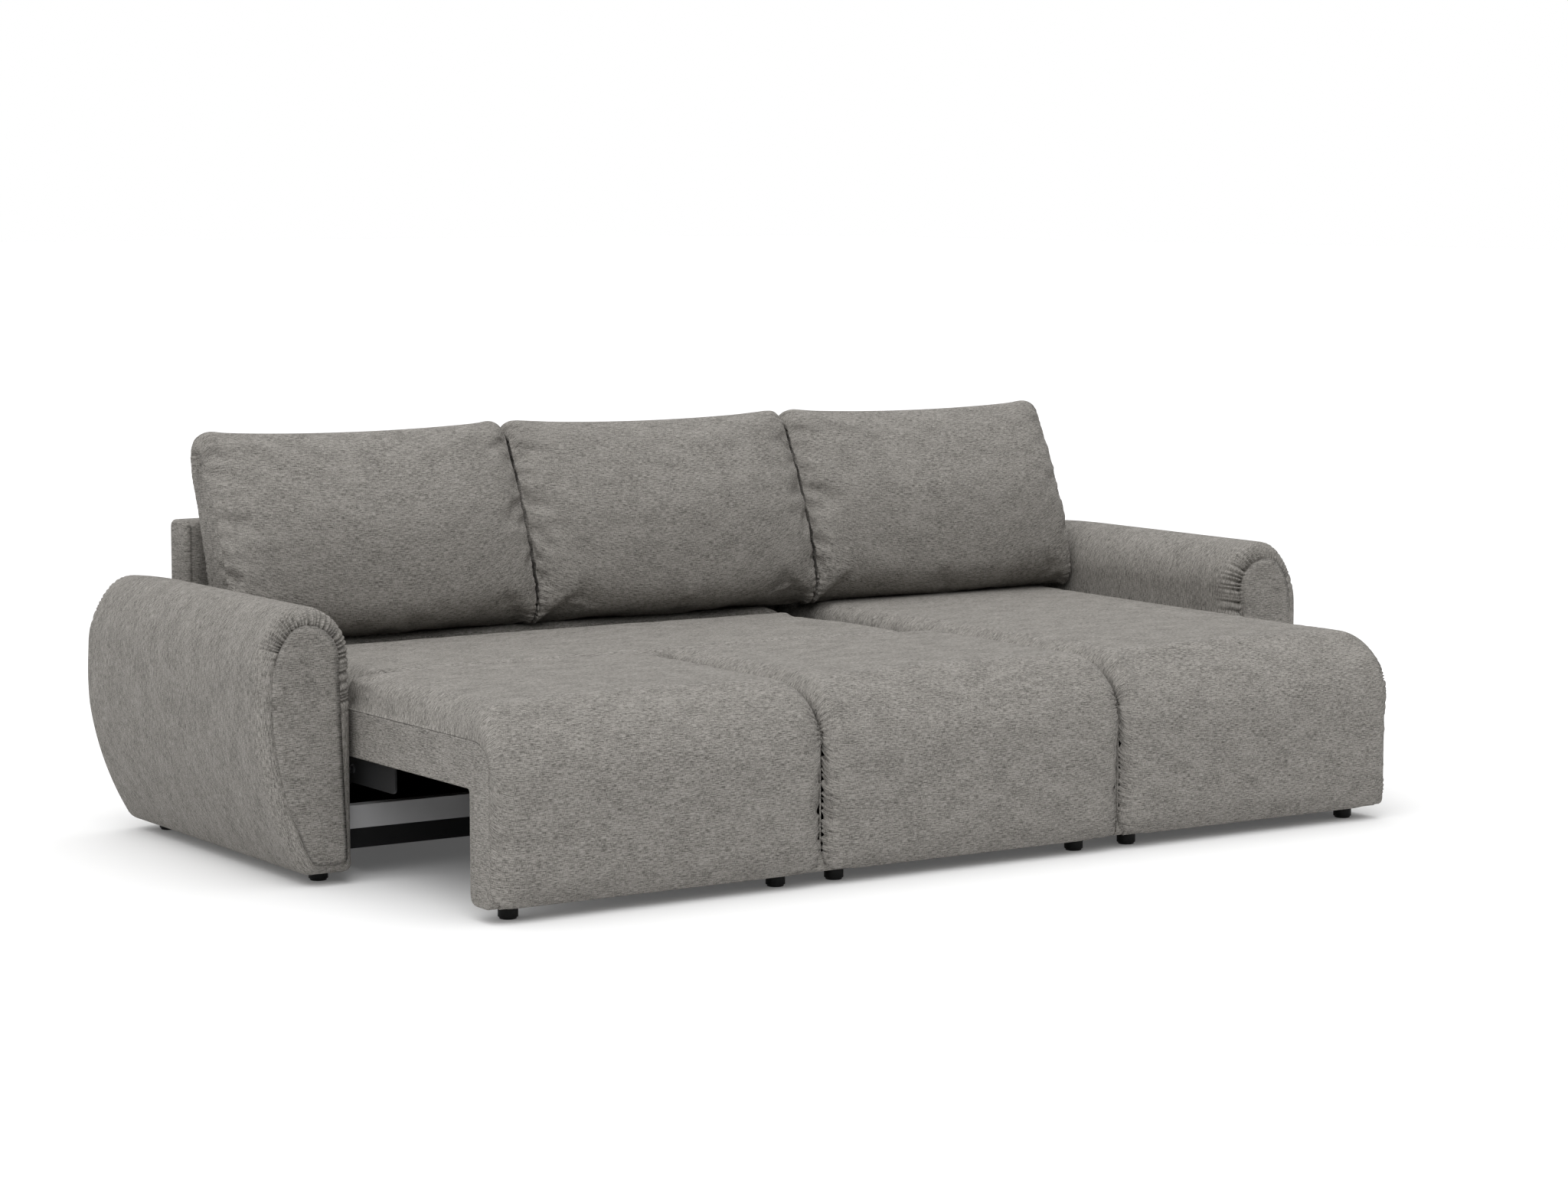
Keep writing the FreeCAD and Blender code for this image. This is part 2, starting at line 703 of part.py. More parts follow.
# The rear cranks' far eyes are bored with more room: the linkage is closed there.
keep(crank("FrontCrankLeft", "left", "0", "stud_play"), "front_crank_left")
keep(crank("FrontCrankRight", "right", "0", "stud_play"), "front_crank_right")
keep(crank("RearCrankLeft", "left", "crank_spacing", "open_play"), "rear_crank_left")
keep(crank("RearCrankRight", "right", "crank_spacing", "open_play"), "rear_crank_right")


def pivot_plate(name, side, layer, y, z, breadth, height):
    """Steel plate with rounded corners, upright along the bed's side."""
    body = document.addObject("PartDesign::Body", name)
    blank = body.newObject("PartDesign::AdditiveBox", name + "Blank")
    bind(blank, Length="plate_thickness", Width=breadth, Height=height)
    document.recompute()
    corners = [f"Edge{number}" for number, line in enumerate(blank.Shape.Edges, start=1)
               if abs(line.Vertexes[0].X - line.Vertexes[-1].X) > 0.01]
    rounded = body.newObject("PartDesign::Fillet", name + "Corners")
    rounded.Base = (blank, corners)
    bind(rounded, Radius="plate_corner")
    body.Tip = rounded
    return place(body, layer_x(side, layer, "plate_thickness"), y, z)


def studs(name, layer, spots, inward, collar, length):
    """Shouldered studs that stand on a plate's face and carry the cranks' eyes, at both sides of the bed."""
    pins = []
    for side in ("left", "right"):
        plate_x = layer_x(side, layer, "plate_thickness")
        onwards = (side == "left") == inward
        collar_x = f"{plate_x} + plate_thickness" if onwards else f"{plate_x} - ({collar})"
        pin_x = f"{plate_x} + plate_thickness" if onwards else f"{plate_x} - ({length})"
        for number, (y, z) in enumerate(spots):
            shoulder = rod(f"{name}Collar{side}{number}", collar_x, y, z, "washer_radius", collar, along="X")
            pin = rod(f"{name}Pin{side}{number}", pin_x, y, z, "stud_radius", length, along="X")
            pins.append(fuse(f"{name}{side}{number}", [shoulder, pin]))
    return group(name, pins)


def nuts(name, inset, spots):
    """Hexagon lock nuts on the studs, at both sides of the bed."""
    rings = []
    for side in ("left", "right"):
        start = layer_x(side, inset, "nut_thickness")
        for number, (y, z) in enumerate(spots):
            blank = document.addObject("Part::Prism", f"{name}Blank{side}{number}")
            blank.Polygon = 6
            blank.Placement = FreeCAD.Placement(Vector(), ALONG_X)
            bind(blank, Circumradius="washer_radius", Height="nut_thickness")
            place(blank, start, y, z)
            hole = rod(f"{name}Bore{side}{number}", start, y, z, "stud_radius + stud_play",
                       "nut_thickness", along="X")
            rings.append(cut(f"{name}{side}{number}", blank, hole))
    return group(name, rings)


# Hinge plates on the side rails: they carry both cranks.
base_spots = [("base_pivot", "base_pivot_height"), ("base_pivot + crank_spacing", "base_pivot_height")]
base_collar = "washer_thickness - side_play"
for side in ("left", "right"):
    keep(pivot_plate(f"HingePlate{side}", side, "layer_plate", "base_pivot - plate_margin",
                     "toe_rail_bottom", "crank_spacing + 2 * plate_margin",
                     "base_pivot_height - toe_rail_bottom + plate_top"), f"hinge_plate_{side}")
keep(studs("HingeStuds", "layer_plate", base_spots, True, base_collar,
           "layer_pad_rail - layer_plate - plate_thickness - nut_room / 2"), "hinge_studs")
keep(nuts("HingeNuts", "layer_nut + side_play", base_spots), "hinge_nuts")

# Seat rails, on the inner faces of the pull-out's side boards.
seat_spots = [("front_pivot", "pivot_height"), ("front_pivot + crank_spacing", "pivot_height")]
for side in ("left", "right"):
    keep(pivot_plate(f"SeatRail{side}", side, "layer_plate", "front_pivot - rail_front_reach",
                     "pivot_height - rail_drop", "rail_front_reach + crank_spacing + rail_rear_reach",
                     "rail_drop + pivot_below_box + rail_grip"), f"seat_rail_{side}")
keep(studs("SeatStuds", "layer_plate", seat_spots, True, base_collar,
           "washer_thickness + crank_thickness + nut_thickness + side_play"), "seat_studs")
keep(nuts("SeatNuts", "layer_hub + side_play", seat_spots), "seat_nuts")

# Pad rails, which hang from the rear pad's board to the short arms.
pad_spots = [("pad_pivot", "pad_pivot_height"), ("pad_pivot + crank_spacing", "pad_pivot_height")]
for side in ("left", "right"):
    keep(pivot_plate(f"PadRail{side}", side, "layer_pad_rail", "pad_pivot - pad_rail_margin",
                     "pad_pivot_height - pad_rail_drop", "crank_spacing + 2 * pad_rail_margin",
                     "rear_pad_bottom - pad_pivot_height + pad_rail_drop"), f"pad_rail_{side}")
keep(studs("PadStuds", "layer_pad_rail", pad_spots, False, "nut_thickness + nut_room - side_play",
           "layer_pad_rail - layer_hub - nut_room / 4"), "pad_studs")
keep(nuts("PadNuts", "layer_short - nut_thickness - side_play", pad_spots), "pad_nuts")


document.recompute()

failed = [item.Name for item in document.Objects if "Invalid" in item.State or "Error" in item.State]
if failed:
    raise RuntimeError("failed objects: " + ", ".join(failed))
os.makedirs("parts", exist_ok=True)
for item in KEPT:
    if item.Shape.isNull() or not item.Shape.isValid():
        raise RuntimeError(item.Label + " has no valid shape")
    item.Shape.exportStep(f"parts/{item.Label}.step")
    print(item.Label, len(item.Shape.Solids), round(item.Shape.Volume / 1e6, 3), "litres")
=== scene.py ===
import math

import bpy
import numpy as np
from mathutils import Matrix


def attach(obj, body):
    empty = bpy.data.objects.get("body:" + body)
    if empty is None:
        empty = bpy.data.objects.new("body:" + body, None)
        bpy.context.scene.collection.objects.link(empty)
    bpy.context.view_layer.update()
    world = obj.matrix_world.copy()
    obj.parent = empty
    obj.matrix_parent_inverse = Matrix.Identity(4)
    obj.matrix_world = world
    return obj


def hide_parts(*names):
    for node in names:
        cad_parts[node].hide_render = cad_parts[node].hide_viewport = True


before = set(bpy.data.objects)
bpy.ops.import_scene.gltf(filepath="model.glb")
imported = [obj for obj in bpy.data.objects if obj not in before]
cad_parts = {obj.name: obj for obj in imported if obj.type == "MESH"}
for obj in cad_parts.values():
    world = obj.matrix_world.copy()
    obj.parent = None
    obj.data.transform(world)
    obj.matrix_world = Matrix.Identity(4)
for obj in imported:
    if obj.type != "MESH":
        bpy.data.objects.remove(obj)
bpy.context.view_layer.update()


# Camera: a long lens from the front left, a little above the cushions. It sees the outer side and the front
# of the left arm, and into the gap beside the pull-out seats.
scene = bpy.context.scene


def placed(name, data):
    """A new object in the scene."""
    made = bpy.data.objects.new(name, data)
    scene.collection.objects.link(made)
    return made


def adjust(thing, **settings):
    """Sets several properties of one thing."""
    for name, value in settings.items():
        setattr(thing, name, value)


camera = placed("camera", bpy.data.cameras.new("camera"))
adjust(camera.data, sensor_width=36, lens=86.48, clip_end=200)
camera.location = (-4.811, -7.281, 1.476)
camera.rotation_euler = (math.radians(90 - 6.20), 0, math.radians(-33.43))
scene.camera = camera


# Cover fabric of every soft piece: a warm grey flat-woven chenille. Its thick weft shows as short pale and
# dark dashes along the threads, over a finer warp, with soft cloudy patches where the pile lies differently.
def feed(tree, sockets, values):
    """Sets each socket to a value, or links it to what feeds it."""
    for name, value in values.items():
        if isinstance(value, bpy.types.NodeSocket):
            tree.links.new(value, sockets[name])
        else:
            sockets[name].default_value = value


def node(tree, kind, values=None, **settings):
    """A new node with its settings, its inputs fed with values."""
    made = tree.nodes.new(kind)
    adjust(made, **settings)
    feed(tree, made.inputs, values or {})
    return made


def calc(tree, operation, *values):
    """One step of arithmetic on numbers that change over the surface."""
    return node(tree, "ShaderNodeMath", dict(enumerate(values)), operation=operation).outputs[0]


def new_group(name, kind, inputs, outputs):
    """An empty node group, with the sockets of its input and output nodes. An input is given by the number
    or colour that it starts with, or else by its type."""
    tree = bpy.data.node_groups.new(name, kind)
    for label, start in inputs.items():
        typed = start if isinstance(start, str) else "Color" if isinstance(start, tuple) else "Float"
        made = tree.interface.new_socket(label, in_out="INPUT", socket_type=f"NodeSocket{typed}")
        if typed in ("Color", "Float"):
            made.default_value = start
    for label, typed in outputs.items():
        tree.interface.new_socket(label, in_out="OUTPUT", socket_type=f"NodeSocket{typed}")
    return tree, tree.nodes.new("NodeGroupInput").outputs, tree.nodes.new("NodeGroupOutput").inputs


def streaks(tree, place, size, detail=2.0):
    """Noise drawn out to a length, width and depth in metres."""
    drawn = node(tree, "ShaderNodeVectorMath", {0: place, 1: size}, operation="DIVIDE").outputs[0]
    return node(tree, "ShaderNodeTexNoise", {"Vector": drawn, "Scale": 1.0, "Detail": detail,
                                             "Roughness": 0.6}).outputs[0]


def sway(tree, noise, share, middle):
    """A value that a noise sways about its middle."""
    return calc(tree, "MULTIPLY_ADD", calc(tree, "SUBTRACT", noise, 0.5), share, middle)


chenille, given, result = new_group(
    "chenille", "ShaderNodeTree",
    {"Threads": "Vector", "Dark": (0.05, 0.05, 0.05, 1), "Light": (0.3, 0.3, 0.3, 1), "Dashes": 1.0,
     "Clouds": 1.0},
    {"Color": "Color", "Height": "Float", "Nap": "Float"})
tone = 0.0
layers = {}
for layer, size, detail, share in (
        ("weft", (0.0125, 0.0011, 1), 2.0, 4.0), ("warp", (0.0012, 0.0085, 1), 2.0, 2.1),
        ("fuzz", (0.0013, 0.0008, 1), 1.0, 1.3), ("slub", (0.0480, 0.0021, 1), 2.0, 1.7)):
    layers[layer] = streaks(chenille, given["Threads"], size, detail)
    tone = sway(chenille, layers[layer], share, tone)
cloud = streaks(chenille, given["Threads"], (0.085, 0.045, 1), 3.0)
patch = calc(chenille, "MULTIPLY", calc(chenille, "SUBTRACT", cloud, 0.5), given["Clouds"])
tone = calc(chenille, "ADD", calc(chenille, "MULTIPLY", tone, given["Dashes"]), patch)
tone = node(chenille, "ShaderNodeClamp", {0: calc(chenille, "ADD", tone, 0.55), 1: 0.0, 2: 1.0}).outputs[0]
mixed = node(chenille, "ShaderNodeMix", {0: tone, 6: given["Dark"], 7: given["Light"]}, data_type="RGBA")
pile = calc(chenille, "MULTIPLY_ADD", layers["weft"], 0.6, calc(chenille, "MULTIPLY", layers["fuzz"], 0.4))
feed(chenille, result, {"Color": mixed.outputs[2], "Height": pile,
                        "Nap": calc(chenille, "MULTIPLY_ADD", patch, -0.3, 0.86)})


def new_finish(name):
    """A new material with its node tree and the inputs of its surface."""
    finish = bpy.data.materials.new(name)
    finish.use_nodes = True
    return finish, finish.node_tree, finish.node_tree.nodes["Principled BSDF"].inputs


# The weave follows the cut of each panel, by the threads laid on it.
upholstery, tree, surface = new_finish("upholstery")
weave = node(tree, "ShaderNodeGroup", {
    "Threads": node(tree, "ShaderNodeUVMap", uv_map="threads").outputs[0], "Dark": (0.102, 0.096, 0.087, 1),
    "Light": (0.350, 0.333, 0.308, 1), "Dashes": 1.0, "Clouds": 0.75}, node_tree=chenille).outputs
bump = node(tree, "ShaderNodeBump", {"Strength": 0.55, "Distance": 0.0009, "Height": weave["Height"]})
feed(tree, surface, {"Base Color": weave["Color"], "Roughness": weave["Nap"], "Normal": bump.outputs[0],
                     "Specular IOR Level": 0.12, "Sheen Weight": 0.02, "Sheen Roughness": 0.55})


# Covers of the two pull-out seats: one piece of fabric over foam, from under the seat's rear edge over the
# front corner and down the front panel to a hem. It rolls down to a boxing seam at both sides.
def dots(start, end, step):
    """Points on a straight run, without its last."""
    count = max(2, round(math.dist(start, end) / step))
    return [(start[0] + (end[0] - start[0]) * k / count, start[1] + (end[1] - start[1]) * k / count)
            for k in range(count)]


def bend(centre, radius, start, end, count):
    """Points on an arc between two angles, without its last."""
    turns = [math.radians(start + (end - start) * k / count) for k in range(count)]
    return [(centre[0] + radius * math.cos(turn), centre[1] + radius * math.sin(turn)) for turn in turns]


def lengths(points, axis=0):
    """How far along its line each point lies, for one line or for all lines of a net."""
    return np.insert(np.linalg.norm(np.diff(points, axis=axis), axis=-1).cumsum(axis), 0, 0, axis)


def match(run, count):
    """As many points on a run as its partner has, spaced as evenly as they come."""
    run = np.array(run)
    length = lengths(run)
    spots = np.linspace(0, length[-1], count + 1)[:-1]
    return np.column_stack([np.interp(spots, length, run[:, 0]), np.interp(spots, length, run[:, 1])])


def paired(outer, inner, reach, last):
    """A cover's lines in a plane across it: the outer line, the seam line, how far the shoulder reaches, and
    each row's place along it, which a rough net and a fine one share."""
    rows = [(np.array(run), match(partner, len(run)), np.linspace(near, far, len(run) + 1)[:-1],
             number + np.arange(len(run)) / len(run))
            for number, (run, partner, near, far) in enumerate(zip(outer, inner, reach, reach[1:]))]
    rows.append((np.array([last]), np.array([last]), np.array(reach[-1:]), np.array([float(len(outer))])))
    return [np.concatenate(column) for column in zip(*rows)]


SEAT_TOP = 0.437
SEAM_LEVEL = 0.370
SEAT_FRONT = -0.760
SEAM_FRONT = -0.738
HEM = 0.0305
CORNER_BACK = 0.115
CORNER_DOWN = 0.170
TURN_UNDER = 0.006
SEAM_CORNER = 0.066
HEM_CORNER = 0.042
REAR_REACH = 0.018
SHOULDER_REACH = 0.064
FACE_REACH = 0.050
REAR_RISE = 0.400
REAR_ROUND = 0.024
HEM_ROUND = 0.016


def cover_rows(rear, bevel, step):
    """Lines of a wrapped cover, from its rear edge over the front corner to the hem."""
    low = (rear - bevel, SEAM_LEVEL)
    ridge = SEAT_TOP - REAR_ROUND
    crest = SEAT_TOP - CORNER_DOWN
    outer = [
        dots(low, (rear, REAR_RISE), step) + dots((rear, REAR_RISE), (rear, ridge), step)
        + bend((rear - REAR_ROUND, ridge), REAR_ROUND, 0, 90, max(4, int(0.038 / step))),
        dots((rear - REAR_ROUND, SEAT_TOP), (SEAT_FRONT + CORNER_BACK, SEAT_TOP), step),
        [(SEAT_FRONT + CORNER_BACK * (1 + y), SEAT_TOP - CORNER_DOWN * (1 - z))
         for y, z in bend((0, 0), 1, 90, 180, max(8, int(0.215 / step)))],
        [(y + TURN_UNDER * ((crest - z) / 0.230) ** 2, z)
         for y, z in dots((SEAT_FRONT, crest), (SEAT_FRONT, HEM + HEM_ROUND), step)],
        bend((SEAM_FRONT, HEM + HEM_ROUND), HEM_ROUND, 180, 270, max(4, int(0.026 / step))),
    ]
    start = (rear - bevel - 0.030, SEAM_LEVEL)
    corner = bend((SEAM_FRONT + SEAM_CORNER, SEAM_LEVEL - SEAM_CORNER), SEAM_CORNER, 90, 180, 16)
    below = (SEAM_FRONT, SEAM_LEVEL - SEAM_CORNER)
    lip, hem = (SEAM_FRONT, HEM + 0.018), (SEAM_FRONT, HEM)
    inner = [[low, start], [start, (SEAM_FRONT + SEAM_CORNER, SEAM_LEVEL)], corner + [below], [below, lip],
             [lip, hem]]
    reach = [REAR_REACH, REAR_REACH, SHOULDER_REACH, FACE_REACH, FACE_REACH, FACE_REACH]
    return paired(outer, inner, reach, hem)


def cover_columns(turns, flat):
    """Places across a cover from one seam to the other: up the shoulder, over the top, and down again."""
    rise = np.linspace(0, 1, turns + 1)[:-1]
    top = 1 + 2 * (1 - np.cos(np.linspace(0, math.pi, flat + 1))) / 2
    return np.concatenate([rise, top, 4 - rise[::-1]])


def crowned(rows, columns, left, right, crown):
    """A cover's face between its two seams, and the flat side that lies on the seat."""
    outer, inner, reach, _ = rows
    share = np.minimum(columns, 4 - columns)
    lift = np.sin(np.clip(share, 0, 1) * math.pi / 2)
    shoulder = 1 - np.cos(np.clip(share, 0, 1) * math.pi / 2)
    near_hem = np.clip(1 - (outer[:, 1] - HEM) / HEM_CORNER, 0, 1)
    tuck = np.where(outer[:, 1] < SEAM_LEVEL - SEAM_CORNER, near_hem, 0)
    pinch = (HEM_CORNER * (1 - np.sqrt(1 - tuck ** 2)))[:, None]
    reach = reach[:, None]
    flat_share = np.clip(share - 1, 0, 1)
    inset = pinch + reach * shoulder + ((right - left) / 2 - reach - pinch) * flat_share
    x = np.where(columns < 2, left + inset, right - inset)
    height = lift - crown * (1 - np.clip(share, 0, 1) * np.sin(flat_share * math.pi / 2)) * lift
    face = inner[:, None, :] + (outer - inner)[:, None, :] * height[None, :, None]
    flat = np.broadcast_to(inner[:, None, :], face.shape)
    return np.dstack([x, face]), np.dstack([x, flat])


def thread_lines(net):
    """Lengths along and across the threads of a panel, which its weave follows."""
    along = lengths(net, 1)
    along -= along[:, [net.shape[1] // 2]]
    across = lengths(net[:, net.shape[1] // 2])
    return np.dstack([along, np.broadcast_to(across[:, None], along.shape)])


def corners_of(net):
    """The four corners of every patch of a net, in order round it."""
    corners = np.stack([net[:-1, :-1], net[1:, :-1], net[1:, 1:], net[:-1, 1:]], 2)
    return corners.reshape(-1, 4, *net.shape[2:])


def skin(name, points, patches, threads, ends=(), end_axes=(1, 2)):
    """A closed skin of four-cornered patches that faces outwards, with its threads laid on it. Each piece is
    cut from another part of the roll."""
    end_axes = list(end_axes)
    threads = threads + sum(name.encode()) * 0.0137
    first, others = points[patches[:, 0]], [points[patches[:, k]] for k in (1, 2, 3)]
    inside = sum((first * np.cross(a, b)).sum() for a, b in zip(others, others[1:]))
    inside += sum((points[end[0]] * np.cross(points[end[k]], points[end[k + 1]])).sum()
                  for end in ends for k in range(1, len(end) - 1))
    faces = [list(patch) for patch in patches] + [list(end) for end in ends]
    laid = [list(map(tuple, four)) for four in threads]
    laid += [[tuple(points[k, end_axes]) for k in end] for end in ends]
    if inside < 0:
        faces = [face[::-1] for face in faces]
        laid = [four[::-1] for four in laid]
    mesh = bpy.data.meshes.new(name)
    mesh.from_pydata(points.tolist(), [], faces)
    lines = mesh.uv_layers.new(name="threads")
    lines.data.foreach_set("uv", np.array([value for four in laid for value in four]).ravel())
    mesh.polygons.foreach_set("use_smooth", [True] * len(faces))
    return placed(name, mesh)


def sewn(name, face, back):
    """Two panels of one net, sewn together all round."""
    rows, columns = face.shape[:2]
    outside = np.arange(rows * columns).reshape(rows, columns)
    inside = outside.copy()
    within = np.arange((rows - 2) * (columns - 2)).reshape(rows - 2, columns - 2)
    inside[1:-1, 1:-1] = rows * columns + within
    points = np.concatenate([face.reshape(-1, 3), back[1:-1, 1:-1].reshape(-1, 3)])
    patches = np.concatenate([corners_of(outside), corners_of(inside)[:, ::-1]])
    threads = np.concatenate([corners_of(thread_lines(face)), corners_of(thread_lines(back))[:, ::-1]])
    return skin(name, points, patches, threads)


FILLING_FRAMES = 20


def swell(draft, held, pressure, limit, slack):
    """How far each point of a stuffed cover moves when it is filled. It is held where the weights say, and
    the cloth is cut a little too large by slack."""
    count = len(draft.data.vertices)
    pins = draft.vertex_groups.new(name="held")
    for level in np.unique(held):
        pins.add(np.flatnonzero(held == level).tolist(), float(level), "REPLACE")
    cloth = draft.modifiers.new("cloth", "CLOTH")
    adjust(cloth.settings, quality=5, mass=0.3, tension_stiffness=15, compression_stiffness=15,
           shear_stiffness=5, bending_stiffness=0.4, vertex_group_mass="held", use_pressure=True,
           uniform_pressure_force=pressure, shrink_min=-slack)
    cloth.settings.effector_weights.gravity = 0
    start = np.zeros(count * 3)
    draft.data.vertices.foreach_get("co", start)
    for moment in range(1, FILLING_FRAMES + 1):
        scene.frame_set(moment)
    end = np.zeros(count * 3)
    draft.evaluated_get(bpy.context.evaluated_depsgraph_get()).data.vertices.foreach_get("co", end)
    scene.frame_set(1)
    bpy.data.objects.remove(draft)
    move = (end - start).reshape(-1, 3)
    far = np.linalg.norm(move, axis=1, keepdims=True) + 1e-9
    return move * (limit * np.tanh(far / limit) / far)


def carry(rough, fine):
    """Weights that carry what a rough row of stations does over to a finer row, smoothly."""
    place = np.interp(fine, rough, np.arange(len(rough)))
    first = np.clip(np.floor(place).astype(int), 0, len(rough) - 2)
    t = place - first
    spread = (-t / 2 + t ** 2 - t ** 3 / 2, 1 - 2.5 * t ** 2 + 1.5 * t ** 3,
              t / 2 + 2 * t ** 2 - 1.5 * t ** 3, -t ** 2 / 2 + t ** 3 / 2)
    weights = np.zeros((len(fine), len(rough)))
    for shift, share in zip((-1, 0, 1, 2), spread):
        np.add.at(weights, (np.arange(len(fine)), np.clip(first + shift, 0, len(rough) - 1)), share)
    return weights


def mark(piece, **values):
    """Notes numbers at a piece's first points, and zero at the rest, for the stitching that follows them."""
    for name, numbers in values.items():
        noted = piece.data.attributes.get(name) or piece.data.attributes.new(name, "FLOAT", "POINT")
        full = np.zeros(len(piece.data.vertices), np.float32)
        full[:np.size(numbers)] = np.ravel(numbers)
        noted.data.foreach_set("value", full)


def scaled(tree, vector, factor):
    """A direction or a colour times a number."""
    return node(tree, "ShaderNodeVectorMath", {0: vector, "Scale": factor}, operation="SCALE").outputs[0]


def end_tree(tree, result, geometry, material):
    """Ends a tree: what it made is made real and gets its material."""
    real = node(tree, "GeometryNodeRealizeInstances", {0: geometry}).outputs[0]
    made = node(tree, "GeometryNodeSetMaterial", {"Geometry": real, "Material": material}).outputs[0]
    feed(tree, result, {"Geometry": made})


# Small gathers along a seam: sharp valleys between soft ribs, deepest at the stitches.
gathers, given, result = new_group(
    "gathers", "GeometryNodeTree",
    {"Geometry": "Geometry", "Pitch": 0.012, "Depth": 0.002, "Reach": 0.03, "Seed": 0.0,
     "Fabric": "Material"},
    {"Geometry": "Geometry"})
run, near, pull = [
    node(gathers, "GeometryNodeInputNamedAttribute", {"Name": name}, data_type="FLOAT").outputs[0]
    for name in ("seam_run", "seam_near", "seam_pull")]
beat = calc(gathers, "DIVIDE", run, given["Pitch"])
drift, loud = [
    node(gathers, "ShaderNodeTexNoise", {"W": calc(gathers, "MULTIPLY_ADD", beat, pace, given["Seed"]),
                                         "Scale": 1.0, "Detail": detail}, noise_dimensions="1D").outputs[0]
    for pace, detail in ((0.3, 1.0), (0.55, 0.0))]
phase = calc(gathers, "MULTIPLY_ADD", drift, 2.4, beat)
rib = calc(gathers, "ABSOLUTE", calc(gathers, "SINE", calc(gathers, "MULTIPLY", phase, math.pi)))
fade = calc(gathers, "SUBTRACT", 1.0, calc(gathers, "DIVIDE", near, given["Reach"]))
fade = calc(gathers, "POWER", calc(gathers, "MAXIMUM", fade, 0.0), 1.5)
fade = calc(gathers, "MULTIPLY", calc(gathers, "MULTIPLY", fade, pull), given["Depth"])
loud = calc(gathers, "MULTIPLY_ADD", loud, 1.2, 0.4)
valley = calc(gathers, "MULTIPLY", calc(gathers, "SUBTRACT", 1.0, rib), loud)
sink = calc(gathers, "MULTIPLY", calc(gathers, "MULTIPLY", valley, fade), -1.0)
inward = scaled(gathers, node(gathers, "GeometryNodeInputNormal").outputs[0], sink)
laid = node(gathers, "GeometryNodeSetPosition", {"Geometry": given["Geometry"], "Offset": inward}).outputs[0]
end_tree(gathers, result, laid, given["Fabric"])


def lay(piece, tree, **values):
    """Runs a node tree on a piece and keeps what comes out as the piece's plain mesh."""
    layer = piece.modifiers.new(tree.name, "NODES")
    layer.node_group = tree
    for item in tree.interface.items_tree:
        if item.in_out == "INPUT" and item.name in values:
            layer[item.identifier] = values[item.name]
    made = bpy.data.meshes.new_from_object(piece.evaluated_get(bpy.context.evaluated_depsgraph_get()))
    piece.modifiers.remove(layer)
    piece.data = made


def finish_fabric(piece, body, fill, *nodes):
    """What every covered piece has in common: its seam marks cleared, its body, and the solid that it stands
    for, which is hidden. The fill, given only for a padded one, is not used."""
    for name in ("seam_run", "seam_near", "seam_pull"):
        if name in piece.data.attributes:
            piece.data.attributes.remove(piece.data.attributes[name])
    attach(piece, body)
    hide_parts(*nodes)


ROUGH_STEP = 0.014
FINE_STEP = 0.0032


def filled(rows, columns, left, right, crown, **filling):
    """A cover's face and flat side, swollen on a rough net and carried over to a fine one."""
    face, flat = crowned(rows[0], columns[0], left, right, crown)
    draft = sewn("draft", face, flat)
    held = np.ones(len(draft.data.vertices))
    held[np.arange(face[..., 0].size).reshape(face.shape[:2])[1:-1, 1:-1]] = 0
    move = swell(draft, held, **filling)[:face[..., 0].size].reshape(face.shape)
    face, flat = crowned(rows[1], columns[1], left, right, crown)
    shares = carry(rows[0][3], rows[1][3]), carry(*columns)
    return face + np.einsum("ar,rcx,bc->abx", shares[0], move, shares[1]), flat


def wrapped_cover(name, left, right, rear, bevel, pulls, seed):
    """One seat cover; pulls says how strongly each side seam is gathered."""
    rows = [cover_rows(rear, bevel, step) for step in (ROUGH_STEP, FINE_STEP)]
    columns = cover_columns(7, 44), cover_columns(16, 34)
    face, flat = filled(rows, columns, left, right, 0.07, pressure=5.0, limit=0.009, slack=0.012)
    face[..., 0] = np.clip(face[..., 0], left + 0.0004, right - 0.0004)
    piece = sewn(name, face, flat)
    lines = thread_lines(face)
    width = lines[:, -1:, 0] - lines[:, :1, 0]
    from_left = lines[..., 0] - lines[:, :1, 0]
    corner = np.exp(-((rows[1][3] - 2.6) / 0.9) ** 2)
    strength = np.where(from_left < width / 2, *pulls) * (0.75 + 0.60 * corner[:, None])
    near = np.minimum(from_left, width - from_left)
    mark(piece, seam_run=lines[..., 1], seam_near=near, seam_pull=strength)
    lay(piece, gathers, Pitch=0.0125, Depth=0.0088, Reach=0.052, Seed=seed, Fabric=upholstery)
    return piece


SEAT_REAR = -0.084
SEAT_BEVEL = 0.024
for side, left, right, pulls, seed in (("left", -1.1985, -0.4015, (0.25, 1.0), 3.0),
                                       ("middle", -0.3985, 0.3985, (1.0, 1.0), 17.0)):
    cover = wrapped_cover(f"seat_cover_{side}", left, right, SEAT_REAR, SEAT_BEVEL, pulls, seed)
    finish_fabric(cover, "seat", 0.85, f"seat_pad_{side}")


# Chaise cover: fabric over foam, cut like the seats' covers. It lies on the chaise's deck, and is long
# enough to reach back under the loose cushion.
CHAISE_REAR = 0.6725
chaise = wrapped_cover("chaise_cover", 0.4015, 1.1985, CHAISE_REAR, 0.0, (1.0, 1.0), 29.0)
finish_fabric(chaise, "base", 0.85, "chaise_pad")


# Rear bed pad: foam on a board, covered in the same fabric. It fills the bed behind the seats. When the sofa
# is closed it sinks while they come back over it, so its edges are rounded.
BED_SIDES = (-1.130, 0.330)
FLAT_REACH = 0.058


